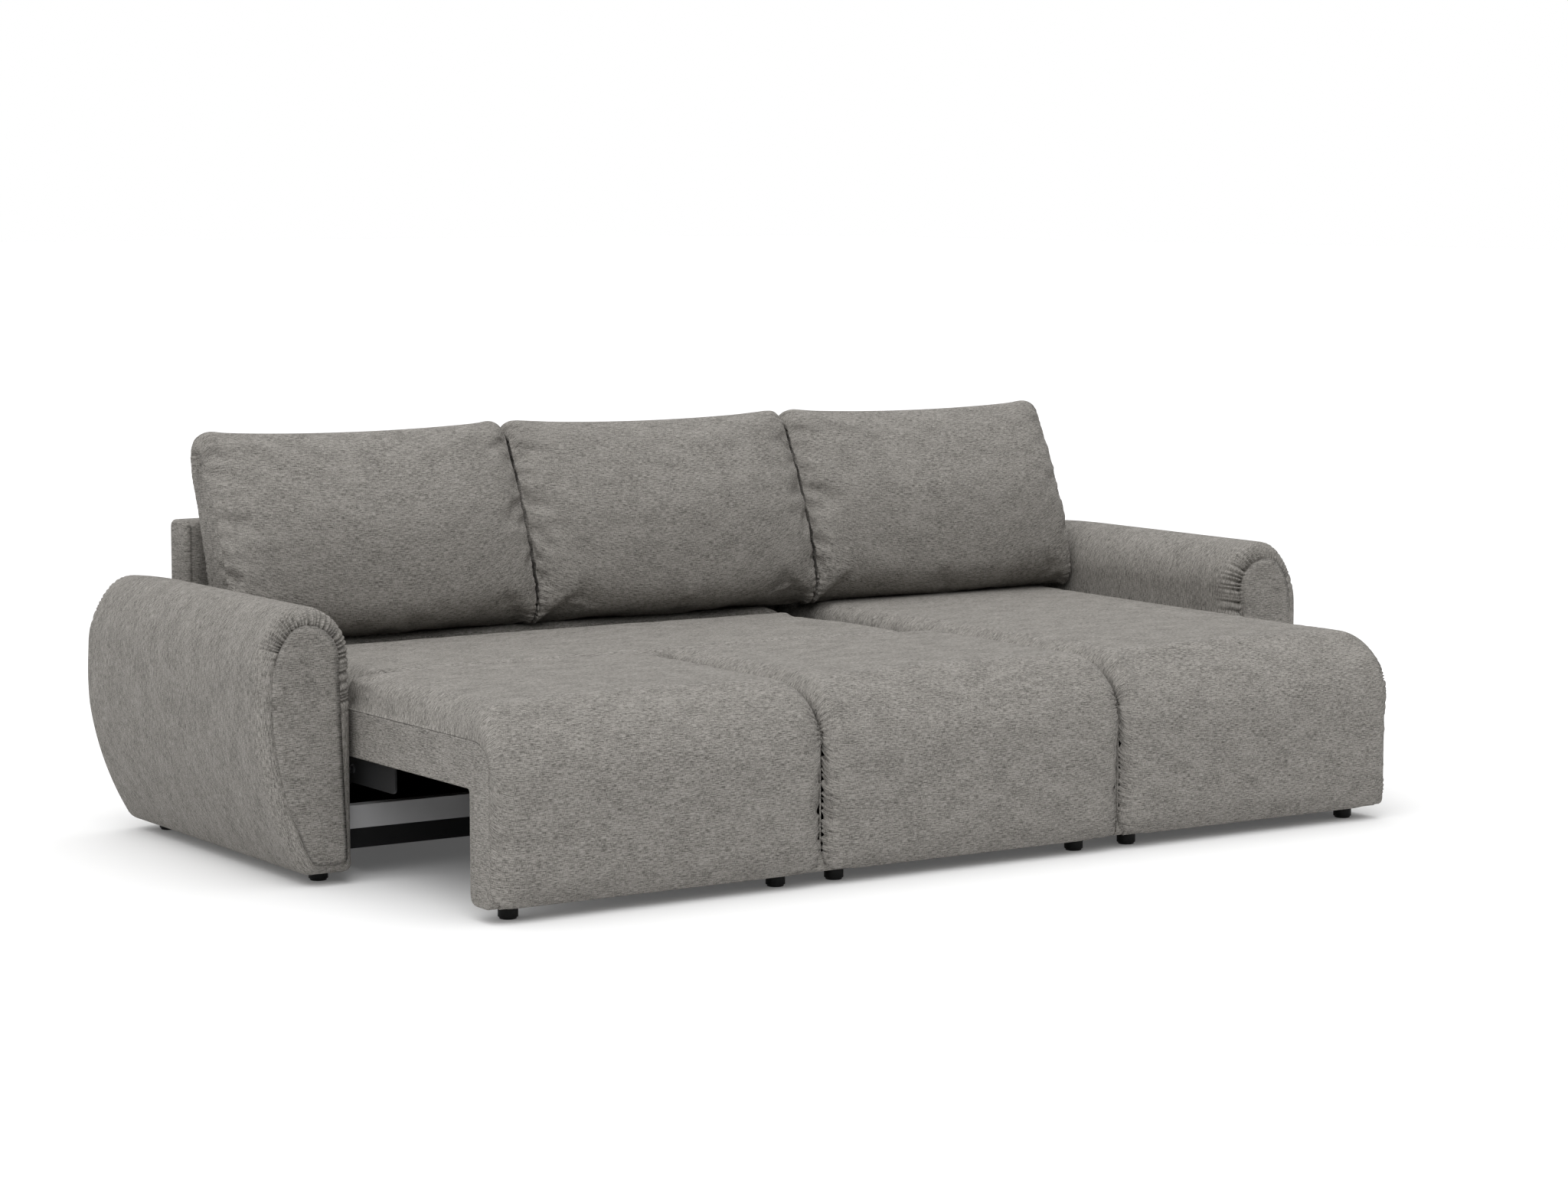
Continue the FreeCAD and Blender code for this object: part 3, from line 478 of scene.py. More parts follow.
def flat_cover(name, front, rear, under, top, round_off, slope):
    """One pad on a board, swollen a little between its seams; its front leans back by slope."""
    def lines(step):
        """Outer line and seam line in a plane across the pad."""
        count = max(4, int(1.57 * round_off / step))
        shoulder = top - round_off
        outer = [
            dots((rear, under), (rear, shoulder), step)
            + bend((rear - round_off, shoulder), round_off, 0, 90, count),
            dots((rear - round_off, top), (front + round_off, top), step),
            bend((front + round_off, shoulder), round_off, 90, 180, count)
            + dots((front, shoulder), (front - slope, under), step),
        ]
        seam = [(rear, under), (rear - round_off, under), (front + round_off, under), (front - slope, under)]
        return paired(outer, list(zip(seam, seam[1:])), [FLAT_REACH] * 4, seam[-1])

    rows = lines(ROUGH_STEP), lines(2 * FINE_STEP)
    columns = cover_columns(6, 70), cover_columns(12, 90)
    face, flat = filled(rows, columns, *BED_SIDES, 0.04, pressure=4.0, limit=0.006, slack=0.008)
    face = np.clip(face, (BED_SIDES[0], front - slope, under), (BED_SIDES[1], rear, top + 0.004))
    piece = sewn(name, face, flat)
    piece.data.materials.append(upholstery)
    return piece


rear_pad = flat_cover("rear_pad_cover", front=-0.078, rear=0.455, under=0.3455, top=0.435, round_off=0.020,
                      slope=SEAT_BEVEL)
finish_fabric(rear_pad, "rear_bed_pad", 0.8, "rear_pad")


# Ledge pad: a thin pad on the fixed ledge behind the bed. The left and the middle loose cushion stand on it,
# and the right one stands on the chaise.
ledge_pad = flat_cover("ledge_pad_cover", front=0.493, rear=0.6725, under=0.3925, top=0.436, round_off=0.014,
                       slope=0.0)
finish_fabric(ledge_pad, "base", 0.8, "ledge_pad")


# Loose back cushions: a long panel runs up the front, over the top and down the back, and a gusset closes
# each end. They are softly filled, fuller in the middle, and lean back against the low back.
def toward(outline, spine, share):
    """An outline drawn in towards the nearest places on a line inside it, by a share of the way."""
    start, end = np.array(spine[0]), np.array(spine[1])
    way = end - start
    nearest = np.clip(((outline - start) @ way) / (way @ way), 0, 1)[:, None] * way + start
    return outline + (nearest - outline) * share


def stacked(name, rings, end_bands, end_axes=(1, 2), round_threads=False):
    """A closed skin through rings, with its end panels' threads laid flat across them."""
    count, around = rings.shape[:2]
    loop = np.concatenate([rings, rings[:, :1]], 1)
    order = np.arange(count * around).reshape(count, around)
    order = np.concatenate([order, order[:, :1]], 1)
    rise = lengths(rings).mean(1)[:, None]
    wall = np.dstack([np.broadcast_to(lines, loop.shape[:2]) for lines in (lengths(loop[count // 2]), rise)])
    if not round_threads:
        wall = wall[..., ::-1]
    threads = corners_of(wall)
    band = np.repeat(np.arange(count - 1), around)
    at_end = (band < end_bands) | (band >= count - 1 - end_bands)
    threads[at_end] = corners_of(loop[..., list(end_axes)])[at_end]
    ends = [order[0, :-1].tolist(), order[-1, :-1][::-1].tolist()]
    return skin(name, rings.reshape(-1, 3), corners_of(order), threads, ends, end_axes)


# Sections across the sofa, from the underside's rear round the front and over the top: the gusset's, and
# the cushion's fuller middle.
CUSHION_END = np.array([(0.566, 0.443), (0.516, 0.4405), (0.479, 0.449), (0.462, 0.502), (0.482, 0.604),
                        (0.531, 0.730), (0.584, 0.853), (0.608, 0.909), (0.638, 0.924), (0.664, 0.903),
                        (0.660, 0.824), (0.628, 0.729), (0.592, 0.611), (0.572, 0.500)])
CUSHION_MIDDLE = np.array([(0.622, 0.442), (0.560, 0.4405), (0.506, 0.4415), (0.456, 0.458), (0.434, 0.524),
                           (0.464, 0.700), (0.549, 0.838), (0.596, 0.896), (0.634, 0.911), (0.664, 0.890),
                           (0.670, 0.806), (0.671, 0.720), (0.664, 0.620), (0.648, 0.500)])
CUSHION_SPINE = ((0.525, 0.500), (0.625, 0.860))
CUSHION_SHARES = (0.72, 0.5, 0.3, 0.17, 0.10)
CUSHION_CORNER = (0.040, 0.026)
CUSHION_UNDER = 0.4403
CUSHION_FRONT = 0.3600
CUSHION_REAR = 0.6727
CUSHION_TOP = 0.9290
GUSSET_BULGE = 0.0030


def smooth_ring(knots, per_knot):
    """A closed smooth line through its knots."""
    t = np.linspace(0, 1, per_knot, endpoint=False)[:, None]
    parts = []
    for k in range(len(knots)):
        a, b, c, d = (knots[(k + shift) % len(knots)] for shift in (-1, 0, 1, 2))
        parts.append(b + (c - a) * t / 2 + (a - 2.5 * b + 2 * c - d / 2) * t ** 2
                     + (1.5 * b - a / 2 - 1.5 * c + d / 2) * t ** 3)
    return np.concatenate(parts)


def cushion_rings(left, right, stations, per_knot):
    """Rings of a cushion from end to end, gussets first and last."""
    middle, half = (left + right) / 2, (right - left) / 2
    ends, whole = smooth_ring(CUSHION_END, per_knot), smooth_ring(CUSHION_MIDDLE, per_knot)

    def corner(ring, from_seam):
        """The ring with its top rounded down to the upper corner."""
        short = max(0, 1 - from_seam / CUSHION_CORNER[0])
        drop = CUSHION_CORNER[1] * (1 - math.sqrt(1 - short ** 2))
        high = np.clip((ring[:, 1] - 0.78) / 0.12, 0, 1)
        return ring - np.column_stack([np.zeros(len(ring)), drop * high])

    def gusset(side, share):
        """A ring of an end panel, drawn in from its seam by a share."""
        bulge = 0.0040 * math.sin(min(1, 1.6 * share) * math.pi / 2) - 0.001
        return side, bulge, toward(corner(ends, 0), CUSHION_SPINE, share)

    rings = [gusset(-1, share) for share in CUSHION_SHARES]
    for across in stations:
        fullness = (1 - abs(across) ** 2.2) ** 0.55
        full = ends + (whole - ends) * np.array([fullness, 1 - across ** 2])
        from_seam = (1 - abs(across)) * half
        drawn = 0.06 * math.exp(-(from_seam / 0.003) ** 2)
        rings.append((across, 0.0, toward(corner(full, from_seam), CUSHION_SPINE, drawn)))
    rings += [gusset(1, share) for share in reversed(CUSHION_SHARES)]
    return np.array([np.column_stack([np.full(len(ring), middle + across * (half + bulge)), ring])
                     for across, bulge, ring in rings])


def back_cushion(name, left, right, seed):
    """One cushion: filled, then its lower seams drawn up into gathers."""
    rough = np.sin(np.linspace(-1, 1, 41) * math.pi / 2)
    fine = np.sin(np.linspace(-1, 1, 97) * math.pi / 2)
    per_rough, per_fine = 6, 26
    rings = cushion_rings(left, right, rough, per_rough)
    draft = stacked("draft", rings, len(CUSHION_SHARES))
    held = np.zeros(rings.shape[:2])
    seam = len(CUSHION_SHARES)
    held[[seam, -1 - seam]] = 1
    held[:, rings[..., 2].max(0) < 0.4445] = 1
    move = swell(draft, held.ravel(), pressure=3.2, limit=0.016, slack=0.028).reshape(rings.shape)
    move[..., 2] *= 1 - 0.8 * np.clip((rings[..., 2] - 0.82) / 0.06, 0, 1)
    bands = np.arange(seam)
    places = [np.concatenate([bands - seam - 1.0, stations, 2.0 + bands]) for stations in (rough, fine)]
    rings = cushion_rings(left, right, fine, per_fine)
    turn = np.arange(move.shape[1] + 8) - 4
    wrapped = move[:, turn % move.shape[1]]
    spots = np.arange(rings.shape[1]) / per_fine * per_rough
    rings = rings + np.einsum("ar,rcx,bc->abx", carry(*places), wrapped, carry(turn, spots))
    rings = np.clip(rings, (left - GUSSET_BULGE, CUSHION_FRONT, CUSHION_UNDER),
                    (right + GUSSET_BULGE, CUSHION_REAR, CUSHION_TOP))
    piece = stacked(name, rings, seam)
    reach = lengths(rings)
    near = np.minimum(np.abs(reach - reach[seam]), np.abs(reach - reach[-1 - seam]))
    around = lengths(rings[len(rings) // 2])
    off_seat = np.clip((rings[..., 2] - 0.446) / 0.02, 0, 1)
    low = np.clip((0.68 - rings[..., 2]) / 0.20, 0, 1) * off_seat
    deep = np.clip((0.60 - rings[..., 2]) / 0.12, 0, 1) * off_seat
    mark(piece, seam_run=np.broadcast_to(around, near.shape), seam_near=near, seam_pull=0.25 + 0.75 * low)
    lay(piece, gathers, Pitch=0.0135, Depth=0.0042, Reach=0.044, Seed=seed, Fabric=upholstery)
    mark(piece, seam_pull=deep)
    lay(piece, gathers, Pitch=0.040, Depth=0.0044, Reach=0.115, Seed=seed + 5, Fabric=upholstery)
    return piece


for side, left, right, seed in (("left", -1.1965, -0.4035, 41.0), ("middle", -0.3965, 0.3965, 53.0),
                                ("right", 0.4035, 1.1965, 67.0)):
    cushion = back_cushion(f"loose_cushion_{side}", left, right, seed)
    finish_fabric(cushion, f"cushion_{side}", 0.7, f"back_cushion_{side}")


# Arms: foam over a frame, in a wide panel that runs over the arch from foot to foot, closed at each end by
# a flat panel. The wide panel is gathered into pleats where it turns onto the end panels round the arch.
ARM_INNER = 1.208
ARM_FRONT = -0.167
ARM_REAR = 0.763
ARM_ROUND = 0.034
ARM_HEM = 0.0235
ARM_BEND = 0.112
ARM_BEND_LEVEL = 0.488
ARM_SPINE = ((ARM_BEND, ARM_BEND_LEVEL), (0.064, 0.092))


def turned(start, corner, end, count):
    """A soft turn from start to end by way of a corner, without its last point."""
    return [tuple((1 - t) ** 2 * a + 2 * t * (1 - t) * b + t ** 2 * c for a, b, c in zip(start, corner, end))
            for t in np.arange(count) / count]


def arm_outline():
    """The arm seen from the front, from its inner foot up over the arch to its outer foot, in points that
    are close together where the pleats are."""
    side_radius, side_x, side_z, sweep, fall = 0.18925, 0.03474, 0.44275, 0.71018, -31.40
    return np.array(
        dots((0, ARM_HEM + 0.016), (0, 0.300), 0.012)
        + dots((0, 0.300), (0, ARM_BEND_LEVEL), 0.0027)
        + bend((ARM_BEND, ARM_BEND_LEVEL), ARM_BEND, 180, 90, 66)
        + bend((ARM_BEND, 0.520), 0.080, 90, 45, 24)
        + bend((side_x, side_z), side_radius, 45, 0, 55)
        + dots((0.224, side_z), (0.224, 0.400), 0.005)
        + bend((0.224 - sweep, 0.400), sweep, 0, fall * 0.95, 34)
        + turned((0.1299, 0.0467), (0.1190, ARM_HEM + 0.0015), (0.095, ARM_HEM), 7)
        + dots((0.095, ARM_HEM), (0.016, ARM_HEM), 0.012)
        + bend((0.016, ARM_HEM + 0.016), 0.016, 270, 180, 5))


def arm(name, side):
    """One arm; side is -1 at the left and 1 at the right."""
    outline = arm_outline()
    centre_way = toward(outline, ARM_SPINE, 1.0) - outline
    depth = np.linalg.norm(centre_way, axis=1, keepdims=True)
    stages = [(share, -0.0045 * (1 - (1 - share) ** 2)) for share in (0.85, 0.66, 0.48, 0.34)]
    end_rings = [(outline + centre_way * share, bulge) for share, bulge in stages]
    wide = np.clip((outline[:, [1]] - 0.42) / 0.16, 0, 1) * np.clip(outline[:, [0]] / ARM_BEND, 0, 1)
    wide = 1 + 0.30 * wide
    crease = ((0.0385, -0.0014), (0.0355, -0.0004), (0.0340, 0.0022), (0.0325, 0.0008))
    end_rings += [(outline + centre_way / depth * inset * wide, sink) for inset, sink in crease]
    for turn in np.radians([76, 66, 55, 44, 33, 22, 11, 0]):
        inset = ARM_ROUND * (1 - math.cos(turn))
        end_rings.append((outline + centre_way / depth * inset * wide, ARM_ROUND * (1 - math.sin(turn))))
    panel_bands = len(stages) + 2
    near_end = end_rings + [(outline, ARM_ROUND + distance)
                            for distance in (0.005, 0.011, 0.018, 0.026, 0.036, 0.05, 0.07, 0.1)]
    barrel = [(outline, distance) for distance in np.arange(0.165, 0.775, 0.03)]
    length = ARM_REAR - ARM_FRONT
    rings = near_end + barrel + [(ring, length - place) for ring, place in reversed(near_end)]
    lean = centre_way / depth * np.clip((outline[:, [1]] - 0.30) / 0.20, 0, 1) * 0.011
    rings = [(ring + lean * np.clip((place - length + 0.26) / 0.26, 0, 1) ** 2, ARM_FRONT + place)
             for ring, place in rings]
    points = np.array([np.column_stack([side * (ARM_INNER + ring[:, 0]), np.full(len(ring), place),
                                        ring[:, 1]]) for ring, place in rings])
    piece = stacked(name, points, panel_bands, (0, 2), True)
    reach, ring = lengths(points), np.arange(len(points))[:, None]
    from_front = np.where(ring < panel_bands, 9, reach - reach[panel_bands])
    from_rear = np.where(ring > len(points) - 1 - panel_bands, 9, reach[-1 - panel_bands] - reach)
    inner_side = np.clip((outline[:, 1] - 0.366) / 0.02, 0, 1) * (outline[:, 0] < ARM_BEND)
    outer_side = np.clip((outline[:, 1] - 0.47) / 0.06, 0, 1) * (outline[:, 0] >= ARM_BEND)
    run, pull = [np.broadcast_to(row, reach.shape) for row in (lengths(outline), inner_side + outer_side)]
    mark(piece, seam_run=run, seam_near=np.minimum(from_front, from_rear), seam_pull=pull)
    lay(piece, gathers, Pitch=0.0122, Depth=0.0140, Reach=0.085, Seed=71.0, Fabric=upholstery)
    return piece


finish_fabric(arm("arm_cover_left", -1), "base", 0.95, "arm_left")
finish_fabric(arm("arm_cover_right", 1), "base", 0.95, "arm_right")


# Low back: a padded wall between the arms, which the loose cushions lean on. Its cover is seamed along the
# edges of its end panels.
def rounded_outline(boundary, radii, step=0.012):
    """A closed outline with its corners rounded, in points a step apart."""
    points = []
    count = len(boundary)
    for k, radius in enumerate(radii):
        corner = np.array(boundary[k])
        before = np.array(boundary[k - 1]) - corner
        after = np.array(boundary[(k + 1) % count]) - corner
        before, after = before / np.linalg.norm(before), after / np.linalg.norm(after)
        for t in np.linspace(0, 1, 9):
            points.append((1 - t) ** 2 * (corner + before * radius) + 2 * t * (1 - t) * corner
                          + t ** 2 * (corner + after * radius))
        start = corner + after * radius
        follow = np.array(boundary[(k + 1) % count]) - after * radii[(k + 1) % count]
        parts = max(2, round(np.linalg.norm(follow - start) / step))
        points += [start + (follow - start) * t for t in np.arange(1, parts) / parts]
    return np.array(points)


def inset_outline(outline, depth):
    """An outline moved inwards, square to itself."""
    after = np.roll(outline, -1, 0)
    way = after - np.roll(outline, 1, 0)
    way /= np.linalg.norm(way, axis=1, keepdims=True)
    square = np.column_stack([-way[:, 1], way[:, 0]])
    area = (outline[:, 0] * after[:, 1] - after[:, 0] * outline[:, 1]).sum()
    return outline + square * depth * (1 if area > 0 else -1)


def padded_panel(name, outline, left, right, edge, crease=0.0):
    """A flat upholstered part across the sofa, with the edges of its two ends rounded."""
    insets = [(edge + 0.0012, 0.0), (edge + 0.0006, 0.0)]
    insets += [(edge * (1 - math.cos(turn)), edge * (1 - math.sin(turn)))
               for turn in np.radians([90, 72, 54, 36, 18, 0])]
    if crease:
        insets += [(0.0, edge + 0.002), (crease, edge + 0.0045), (0.0, edge + 0.007)]
    near = [(inset_outline(outline, inset), place) for inset, place in insets]
    width = right - left
    spread = [] if width < 0.2 else [(outline, place) for place in np.arange(0.04, width - 0.03, 0.04)]
    rings = near + spread + [(ring, width - place) for ring, place in reversed(near)]
    points = np.array([np.column_stack([np.full(len(ring), left + place), ring]) for ring, place in rings])
    piece = stacked(name, points, 5)
    piece.data.materials.append(upholstery)
    return piece


back_outline = rounded_outline([(0.673, 0.030), (0.763, 0.030), (0.763, 0.714), (0.673, 0.714)],
                               [0.012, 0.012, 0.022, 0.022])
low_back = padded_panel("low_back_cover", back_outline, -1.208, 1.208, 0.010, 0.0025)
finish_fabric(low_back, "base", 0.95, "back_frame")


# Box and front panel under the seats' covers: boards under a thin layer of wadding, covered in the same
# fabric. Each side is one L-shaped panel, which shows when the bed is out.
BOX_REAR = -0.108
BOX_UNDER = 0.268
PANEL_REAR = -0.653
DECK_TOP = 0.3695
DECK_UNDER = 0.3440
side_outline = rounded_outline(
    [(SEAM_FRONT, HEM), (PANEL_REAR, HEM), (PANEL_REAR, BOX_UNDER), (BOX_REAR, BOX_UNDER),
     (BOX_REAR, DECK_TOP), (SEAM_FRONT, DECK_TOP)], [0.020, 0.028, 0.010, 0.007, 0.007, 0.078])
panel_outline = rounded_outline(
    [(SEAM_FRONT, HEM), (PANEL_REAR, HEM), (PANEL_REAR, DECK_UNDER), (SEAM_FRONT, DECK_UNDER)],
    [0.010, 0.028, 0.006, 0.040])


def covered_box(kind, body, outline, sides, front):
    """Both sides of a box and its front panel, each from its left face to its right face."""
    for side, span in zip(("left", "right"), sides):
        panel = padded_panel(f"{kind}_side_{side}", outline, *span, 0.004)
        finish_fabric(panel, body, None, f"{kind}_side_boards")
    panel = padded_panel(f"{kind}_front_panel", panel_outline, *front, 0.002)
    finish_fabric(panel, body, None, f"{kind}_panel_board")


covered_box("seat", "seat", side_outline, ((-1.1985, -1.1745), (0.3745, 0.3985)), (-1.1740, 0.3740))


# Chaise carcass: its front panel and both sides are boards under wadding and the same fabric. The fabric of
# the sides is pulled up over the deck's edge and tacked under the chaise's cover.
chaise_outline = rounded_outline(
    [(SEAM_FRONT, HEM), (CHAISE_REAR, HEM), (CHAISE_REAR, DECK_TOP), (SEAM_FRONT, DECK_TOP)],
    [0.020, 0.008, 0.007, 0.078])
covered_box("chaise", "base", chaise_outline, ((0.4007, 0.4235), (1.1765, 1.1993)), (0.4240, 1.1760))


# Boards inside: the decks, the ledge, and the boards under the rear pad and behind the chaise. They are
# plywood given a near-black colour as painted shade, so that nothing pale shows in the gap under the bed.
hard_grain, given, result = new_group(
    "hard_grain", "ShaderNodeTree",
    {"Place": "Vector", "Colour": (0.1, 0.1, 0.1, 1), "Length": 0.002, "Width": 0.001, "Grain": 0.2,
     "Gloss": 0.5},
    {"Color": "Color", "Roughness": "Float", "Height": "Float"})
grain_size = node(hard_grain, "ShaderNodeCombineXYZ",
                  {"X": given["Length"], "Y": given["Width"], "Z": given["Width"]}).outputs[0]
speck = streaks(hard_grain, given["Place"], grain_size, 3.0)
wear = streaks(hard_grain, given["Place"], (0.11, 0.07, 0.07), 3.0)
shade = sway(hard_grain, wear, given["Grain"], sway(hard_grain, speck, given["Grain"], 1.0))
feed(hard_grain, result, {"Color": scaled(hard_grain, given["Colour"], shade), "Height": speck,
                          "Roughness": sway(hard_grain, wear, 0.18, given["Gloss"])})


def paint(name, colour, roughness, grain, depth, scale, metallic=0.0):
    """A hard finish: one colour with a fine grain, a little uneven in tone and gloss."""
    finish, tree, surface = new_finish(name)
    grained = node(tree, "ShaderNodeGroup", {
        "Place": node(tree, "ShaderNodeTexCoord").outputs["Object"], "Colour": (*colour, 1),
        "Length": scale[0], "Width": scale[1], "Grain": grain, "Gloss": roughness},
        node_tree=hard_grain).outputs
    bump = node(tree, "ShaderNodeBump", {"Strength": 0.3, "Distance": depth, "Height": grained["Height"]})
    feed(tree, surface, {"Base Color": grained["Color"], "Roughness": grained["Roughness"],
                         "Normal": bump.outputs[0], "Metallic": metallic,
                         "Specular IOR Level": 0.5 if metallic else 0.2})
    return finish


def dress(finish, *nodes):
    """Gives solids that keep their own shape their finish."""
    for name in nodes:
        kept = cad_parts[name]
        kept.data.materials.clear()
        kept.data.materials.append(finish)


# Painted shade: the inner boards are near-black so that the gap under the bed reads dark.
shade_black_plywood = paint("plywood_painted_shade", (0.012, 0.011, 0.010), 0.75, 0.7, 0.0004, (0.06, 0.0022))
dress(shade_black_plywood, "seat_deck", "rear_pad_board", "ledge_front_board", "ledge_top_board", "ledge_end_boards",
      "chaise_deck", "chaise_rear_board")


# Base rails: a grey powder-coated tube across the front, and black rails under it, along the sides and at
# the rear.
grey_coat = paint("grey_powder_coat", (0.44, 0.44, 0.447), 0.62, 0.12, 0.00015, (0.0012, 0.0012))
black_coat = paint("black_powder_coat", (0.006, 0.006, 0.0065), 0.5, 0.3, 0.00015, (0.0012, 0.0012))
dress(grey_coat, "front_rail")
dress(black_coat, "toe_rail", "side_rail_left", "side_rail_right", "rear_rail")


# Shade sheet: a black non-woven sheet like a dust cover, stapled up under the base's front and rear rails. It
# sags a little between them, and closes the base off from the floor. Its near-black colour is painted shade:
# it darkens the gap under the base, where the shaded floor would show.
SHADE_SHEET_FRONT = -0.100
SHADE_SHEET_REAR = 0.520
SHADE_SHEET_LEVEL = 0.0643
spread_x, spread_y = np.linspace(*BED_SIDES, 74)[:, None], np.linspace(SHADE_SHEET_FRONT, SHADE_SHEET_REAR, 40)[None, :]
share_x = (spread_x - BED_SIDES[0]) / (BED_SIDES[1] - BED_SIDES[0])
share_y = (spread_y - SHADE_SHEET_FRONT) / (SHADE_SHEET_REAR - SHADE_SHEET_FRONT)
sag = 0.007 * np.sin(share_y * math.pi) ** 0.8 * (0.75 + 0.25 * np.sin(share_x * math.pi))
pucker = 0.0012 * np.sin(share_x * math.pi * 17) * np.sin(share_y * math.pi)
under = np.dstack([spread_x + 0 * sag, spread_y + 0 * sag, SHADE_SHEET_LEVEL - sag + pucker])
shade_sheet = sewn("dust_lining", under, under + (0, 0, 0.0005))
# Near-black painted shade: this sheet darkens the gap under the base, where the floor would show.
shade_sheet_finish, tree, surface = new_finish("shade_sheet_black")
place = node(tree, "ShaderNodeTexCoord").outputs["Object"]
fibre = node(tree, "ShaderNodeTexNoise", {"Vector": place, "Scale": 420.0, "Detail": 3.0}).outputs[0]
embossed = node(tree, "ShaderNodeTexVoronoi", {"Vector": place, "Scale": 330.0, "Randomness": 0.15})
weld = node(tree, "ShaderNodeBump", {"Strength": 0.5, "Distance": 0.0004, "Height": embossed.outputs[0]})
feed(tree, surface, {"Base Color": scaled(tree, (0.010, 0.010, 0.011), calc(tree, "ADD", fibre, 0.5)),
                     "Normal": weld.outputs[0], "Roughness": 0.9, "Specular IOR Level": 0.15})
shade_sheet.data.materials.append(shade_sheet_finish)
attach(shade_sheet, "base")


# Lifting mechanism: plates, rails and cranks of dark lacquered steel. They are held and turn on shouldered
# studs with nuts, which are zinc plated.
dark_lacquer = paint("dark_lacquered_steel", (0.060, 0.061, 0.064), 0.38, 0.35, 0.0002, (0.02, 0.0016), 0.6)
zinc = paint("zinc_plated_steel", (0.32, 0.32, 0.31), 0.32, 0.3, 0.0001, (0.002, 0.0008), 1.0)
for side in ("left", "right"):
    for part in ("hinge_plate", "front_crank", "rear_crank", "seat_rail", "pad_rail"):
        dress(dark_lacquer, f"{part}_{side}")
dress(zinc, "hinge_studs", "hinge_nuts", "seat_studs", "seat_nuts", "pad_studs", "pad_nuts")


# Button-head screws with a socket. They hold the seat rails to the seat's sides, the hinge plates to the
# base's side rails, and the pad rails to the edge of the rear pad's board.
def profile(tree, along, stations):
    """Reads a turned shape's profile: the value at each place from 0 to 1 along it."""
    curve = node(tree, "ShaderNodeFloatCurve", {"Value": along})
    points = curve.mapping.curves[0].points
    while len(points) < len(stations):
        points.new(0.5, 0.5)
    for point, (spot, value) in zip(points, stations):
        point.location = (spot, value)
        point.handle_type = "VECTOR"
    curve.mapping.update()
    return curve.outputs[0]


def turned_parts(name, around, rings, caps, widths, heights, crown=None):
    """A node tree that sets one turned shape on each point, its axis along the point's facing."""
    tree, given, result = new_group(
        name, "GeometryNodeTree",
        {"Geometry": "Geometry", "Radius": 0.01, "Height": 0.01, "Finish": "Material"},
        {"Geometry": "Geometry"})
    blank = node(tree, "GeometryNodeMeshCylinder", {
        "Vertices": around, "Side Segments": rings, "Fill Segments": caps, "Radius": 1.0, "Depth": 1.0},
        fill_type="TRIANGLE_FAN")
    place = node(tree, "GeometryNodeInputPosition").outputs[0]
    spot = node(tree, "ShaderNodeSeparateXYZ", {0: place})
    level = calc(tree, "ADD", spot.outputs["Z"], 0.5)
    width = calc(tree, "MULTIPLY", profile(tree, level, widths), given["Radius"])
    height = profile(tree, level, heights)
    if crown:
        out = node(tree, "ShaderNodeVectorMath", {0: place, 1: (1, 1, 0)}, operation="MULTIPLY").outputs[0]
        out = node(tree, "ShaderNodeVectorMath", {0: out}, operation="LENGTH").outputs["Value"]
        on_top = calc(tree, "GREATER_THAN", level, 0.999)
        top = calc(tree, "SUBTRACT", profile(tree, out, crown), height)
        height = calc(tree, "MULTIPLY_ADD", on_top, top, height)
    shaped = node(tree, "ShaderNodeCombineXYZ",
                  {"X": calc(tree, "MULTIPLY", spot.outputs["X"], width),
                   "Y": calc(tree, "MULTIPLY", spot.outputs["Y"], width),
                   "Z": calc(tree, "MULTIPLY", height, given["Height"])}).outputs[0]
    part = node(tree, "GeometryNodeSetPosition", {"Geometry": blank.outputs["Mesh"],
                                                  "Position": shaped}).outputs[0]
    sharp = calc(tree, "GREATER_THAN", node(tree, "GeometryNodeInputMeshEdgeAngle").outputs[0], 0.5)
    for domain, chosen, smooth in (("FACE", True, True), ("EDGE", sharp, False)):
        part = node(tree, "GeometryNodeSetShadeSmooth", {"Geometry": part, "Selection": chosen,
                                                         "Shade Smooth": smooth}, domain=domain).outputs[0]
    facing = node(tree, "GeometryNodeInputNamedAttribute", {"Name": "facing"}, data_type="FLOAT_VECTOR")
    turn = node(tree, "FunctionNodeAlignRotationToVector", {"Vector": facing.outputs[0]}, axis="Z").outputs[0]
    spots = node(tree, "GeometryNodeMeshToPoints", {"Mesh": given["Geometry"]}).outputs[0]
    parts = node(tree, "GeometryNodeInstanceOnPoints", {"Points": spots, "Instance": part, "Rotation": turn})
    end_tree(tree, result, parts.outputs[0], given["Finish"])
    return tree


def set_out(name, tree, spots, facing, body, slot, **values):
    """One mesh of turned parts on their spots, all facing one way."""
    points = bpy.data.meshes.new(name)
    points.from_pydata(spots, [], [])
    noted = points.attributes.new("facing", "FLOAT_VECTOR", "POINT")
    noted.data.foreach_set("vector", list(facing) * len(spots))
    piece = placed(name, points)
    lay(piece, tree, **values)
    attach(piece, body)
    return piece


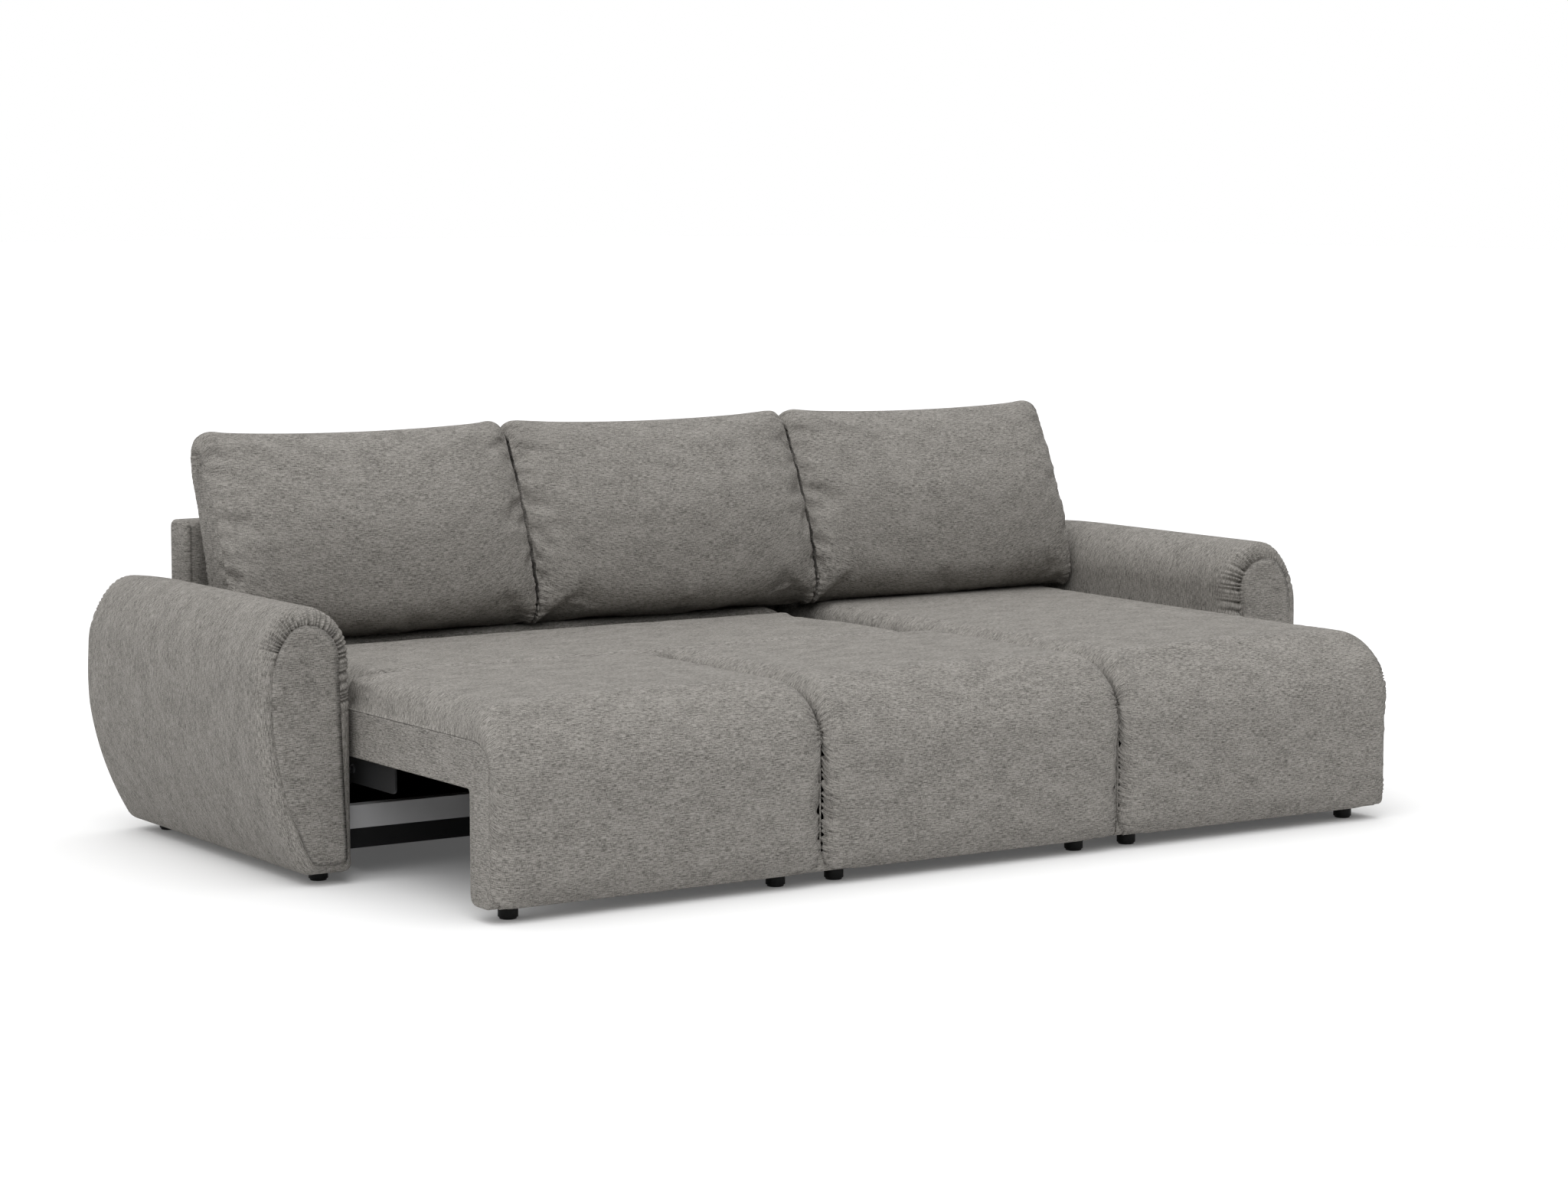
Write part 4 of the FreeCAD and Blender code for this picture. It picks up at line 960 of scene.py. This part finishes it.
button_screws = turned_parts(
    "button_screws", 24, 2, 4, ((0, 1), (0.5, 1), (1, 0.92)), ((0, 0), (0.5, 0.35), (1, 0.6)),
    ((0, 0.30), (0.5, 0.30), (0.52, 0.97), (0.76, 0.92), (1, 0.6)))
for side, seat_face, pad_face, way in (("left", -1.169, -1.145, 1), ("right", 0.369, 0.345, -1)):
    for name, face, level, spots, body, to in (
            ("seat_rail", seat_face, 0.284, (-0.262, -0.196, -0.130), "seat", way),
            ("hinge_plate", seat_face, 0.079, (0.152, 0.238, 0.325), "base", way),
            ("pad_rail", pad_face, 0.336, (0.196, 0.260, 0.325), "rear_bed_pad", -way)):
        set_out(f"{name}_screws_{side}", button_screws, [(face, spot, level) for spot in spots], (to, 0, 0),
                body, "fastener", Radius=0.0052, Height=0.0028, Finish=zinc)


# Round heads of the studs on the seat rails, lacquered dark like the cranks that turn on them. There are two
# at each side of the seat, one for the front crank and one for the rear crank.
for side, face, way in (("left", -1.174, -1), ("right", 0.374, 1)):
    heads = [(face, spot, 0.235) for spot in (-0.092, 0.028)]
    set_out(f"seat_stud_heads_{side}", button_screws, heads, (way, 0, 0), "seat", "fastener",
            Radius=0.0105, Height=0.0060, Finish=dark_lacquer)


# Feet: short turned feet of black plastic with an eased top edge, each screwed up into its board. They
# stand on a narrower glide.
foot_plastic = paint("foot_plastic", (0.010, 0.010, 0.010), 0.5, 0.25, 0.0003, (0.0014, 0.0014))
FOOT_WIDTHS = ((0, 0.80), (0.125, 0.85), (0.25, 0.85), (0.375, 0.94), (0.5, 1), (0.625, 1), (0.75, 1),
               (0.875, 0.985), (1, 0.955))
FOOT_HEIGHTS = ((0, 0), (0.125, 0.02), (0.25, 0.12), (0.375, 0.13), (0.5, 0.17), (0.625, 0.55), (0.75, 0.94),
                (0.875, 0.985), (1, 1))
turned_feet = turned_parts("turned_feet", 48, 8, 2, FOOT_WIDTHS, FOOT_HEIGHTS)
for name, body, spots in (
        ("seat", "seat", [(x, -0.679) for x in (-1.125, -0.475, -0.325, 0.325)]),
        ("chaise", "base", [(x, -0.679) for x in (0.475, 1.125)]),
        ("back", "base", [(x, 0.718) for x in (-1.125, -0.4, 0.4, 1.125)]),
        ("arm", "base", [(x, y) for x in (-1.254, 1.254) for y in (-0.079, 0.693)])):
    feet = set_out(f"{name}_turned_feet", turned_feet, [(x, y, 0) for x, y in spots], (0, 0, 1), body,
                   "foot_plastic", Radius=0.021, Height=0.030, Finish=foot_plastic)
    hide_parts(f"{name}_feet")


# Floor and light: a plain white studio floor, one large soft light from the front left and above, and an
# even white surround. The floor is lit faintly from within, like a light table, so its shadows stay grey.
floor_mesh = bpy.data.meshes.new("floor")
floor_mesh.from_pydata([(-60, -60, 0), (60, -60, 0), (60, 90, 0), (-60, 90, 0)], [], [(0, 1, 2, 3)])
floor = placed("floor", floor_mesh)
white, tree, surface = new_finish("white_floor")
direct = node(tree, "ShaderNodeLightPath").outputs["Is Camera Ray"]
feed(tree, surface, {"Base Color": calc(tree, "MULTIPLY_ADD", direct, 0.12, 0.75), "Roughness": 0.9,
                     "Specular IOR Level": 0.1, "Emission Color": (1, 1, 1, 1), "Emission Strength": 0.08})
floor_mesh.materials.append(white)

world = bpy.data.worlds.new("studio")
world.use_nodes = True
sky = world.node_tree
way = node(sky, "ShaderNodeTexCoord").outputs["Generated"]
up = calc(sky, "MAXIMUM", node(sky, "ShaderNodeSeparateXYZ", {0: way}).outputs["Z"], 0.0)
overhead = calc(sky, "MULTIPLY_ADD", calc(sky, "POWER", up, 1.6), 1.75, 0.02)
seen = node(sky, "ShaderNodeLightPath").outputs["Is Camera Ray"]
strength = calc(sky, "MULTIPLY_ADD", calc(sky, "SUBTRACT", 1.0, overhead), seen, overhead)
feed(sky, sky.nodes["Background"].inputs, {"Color": (1, 1, 1, 1), "Strength": strength})
scene.world = world
scene.view_settings.view_transform = "Standard"

lamp = bpy.data.lights.new("softbox", "SUN")
adjust(lamp, energy=1.15, angle=math.radians(60))
softbox = placed("softbox", lamp)
softbox.rotation_euler = (math.radians(26), math.radians(-37), 0)
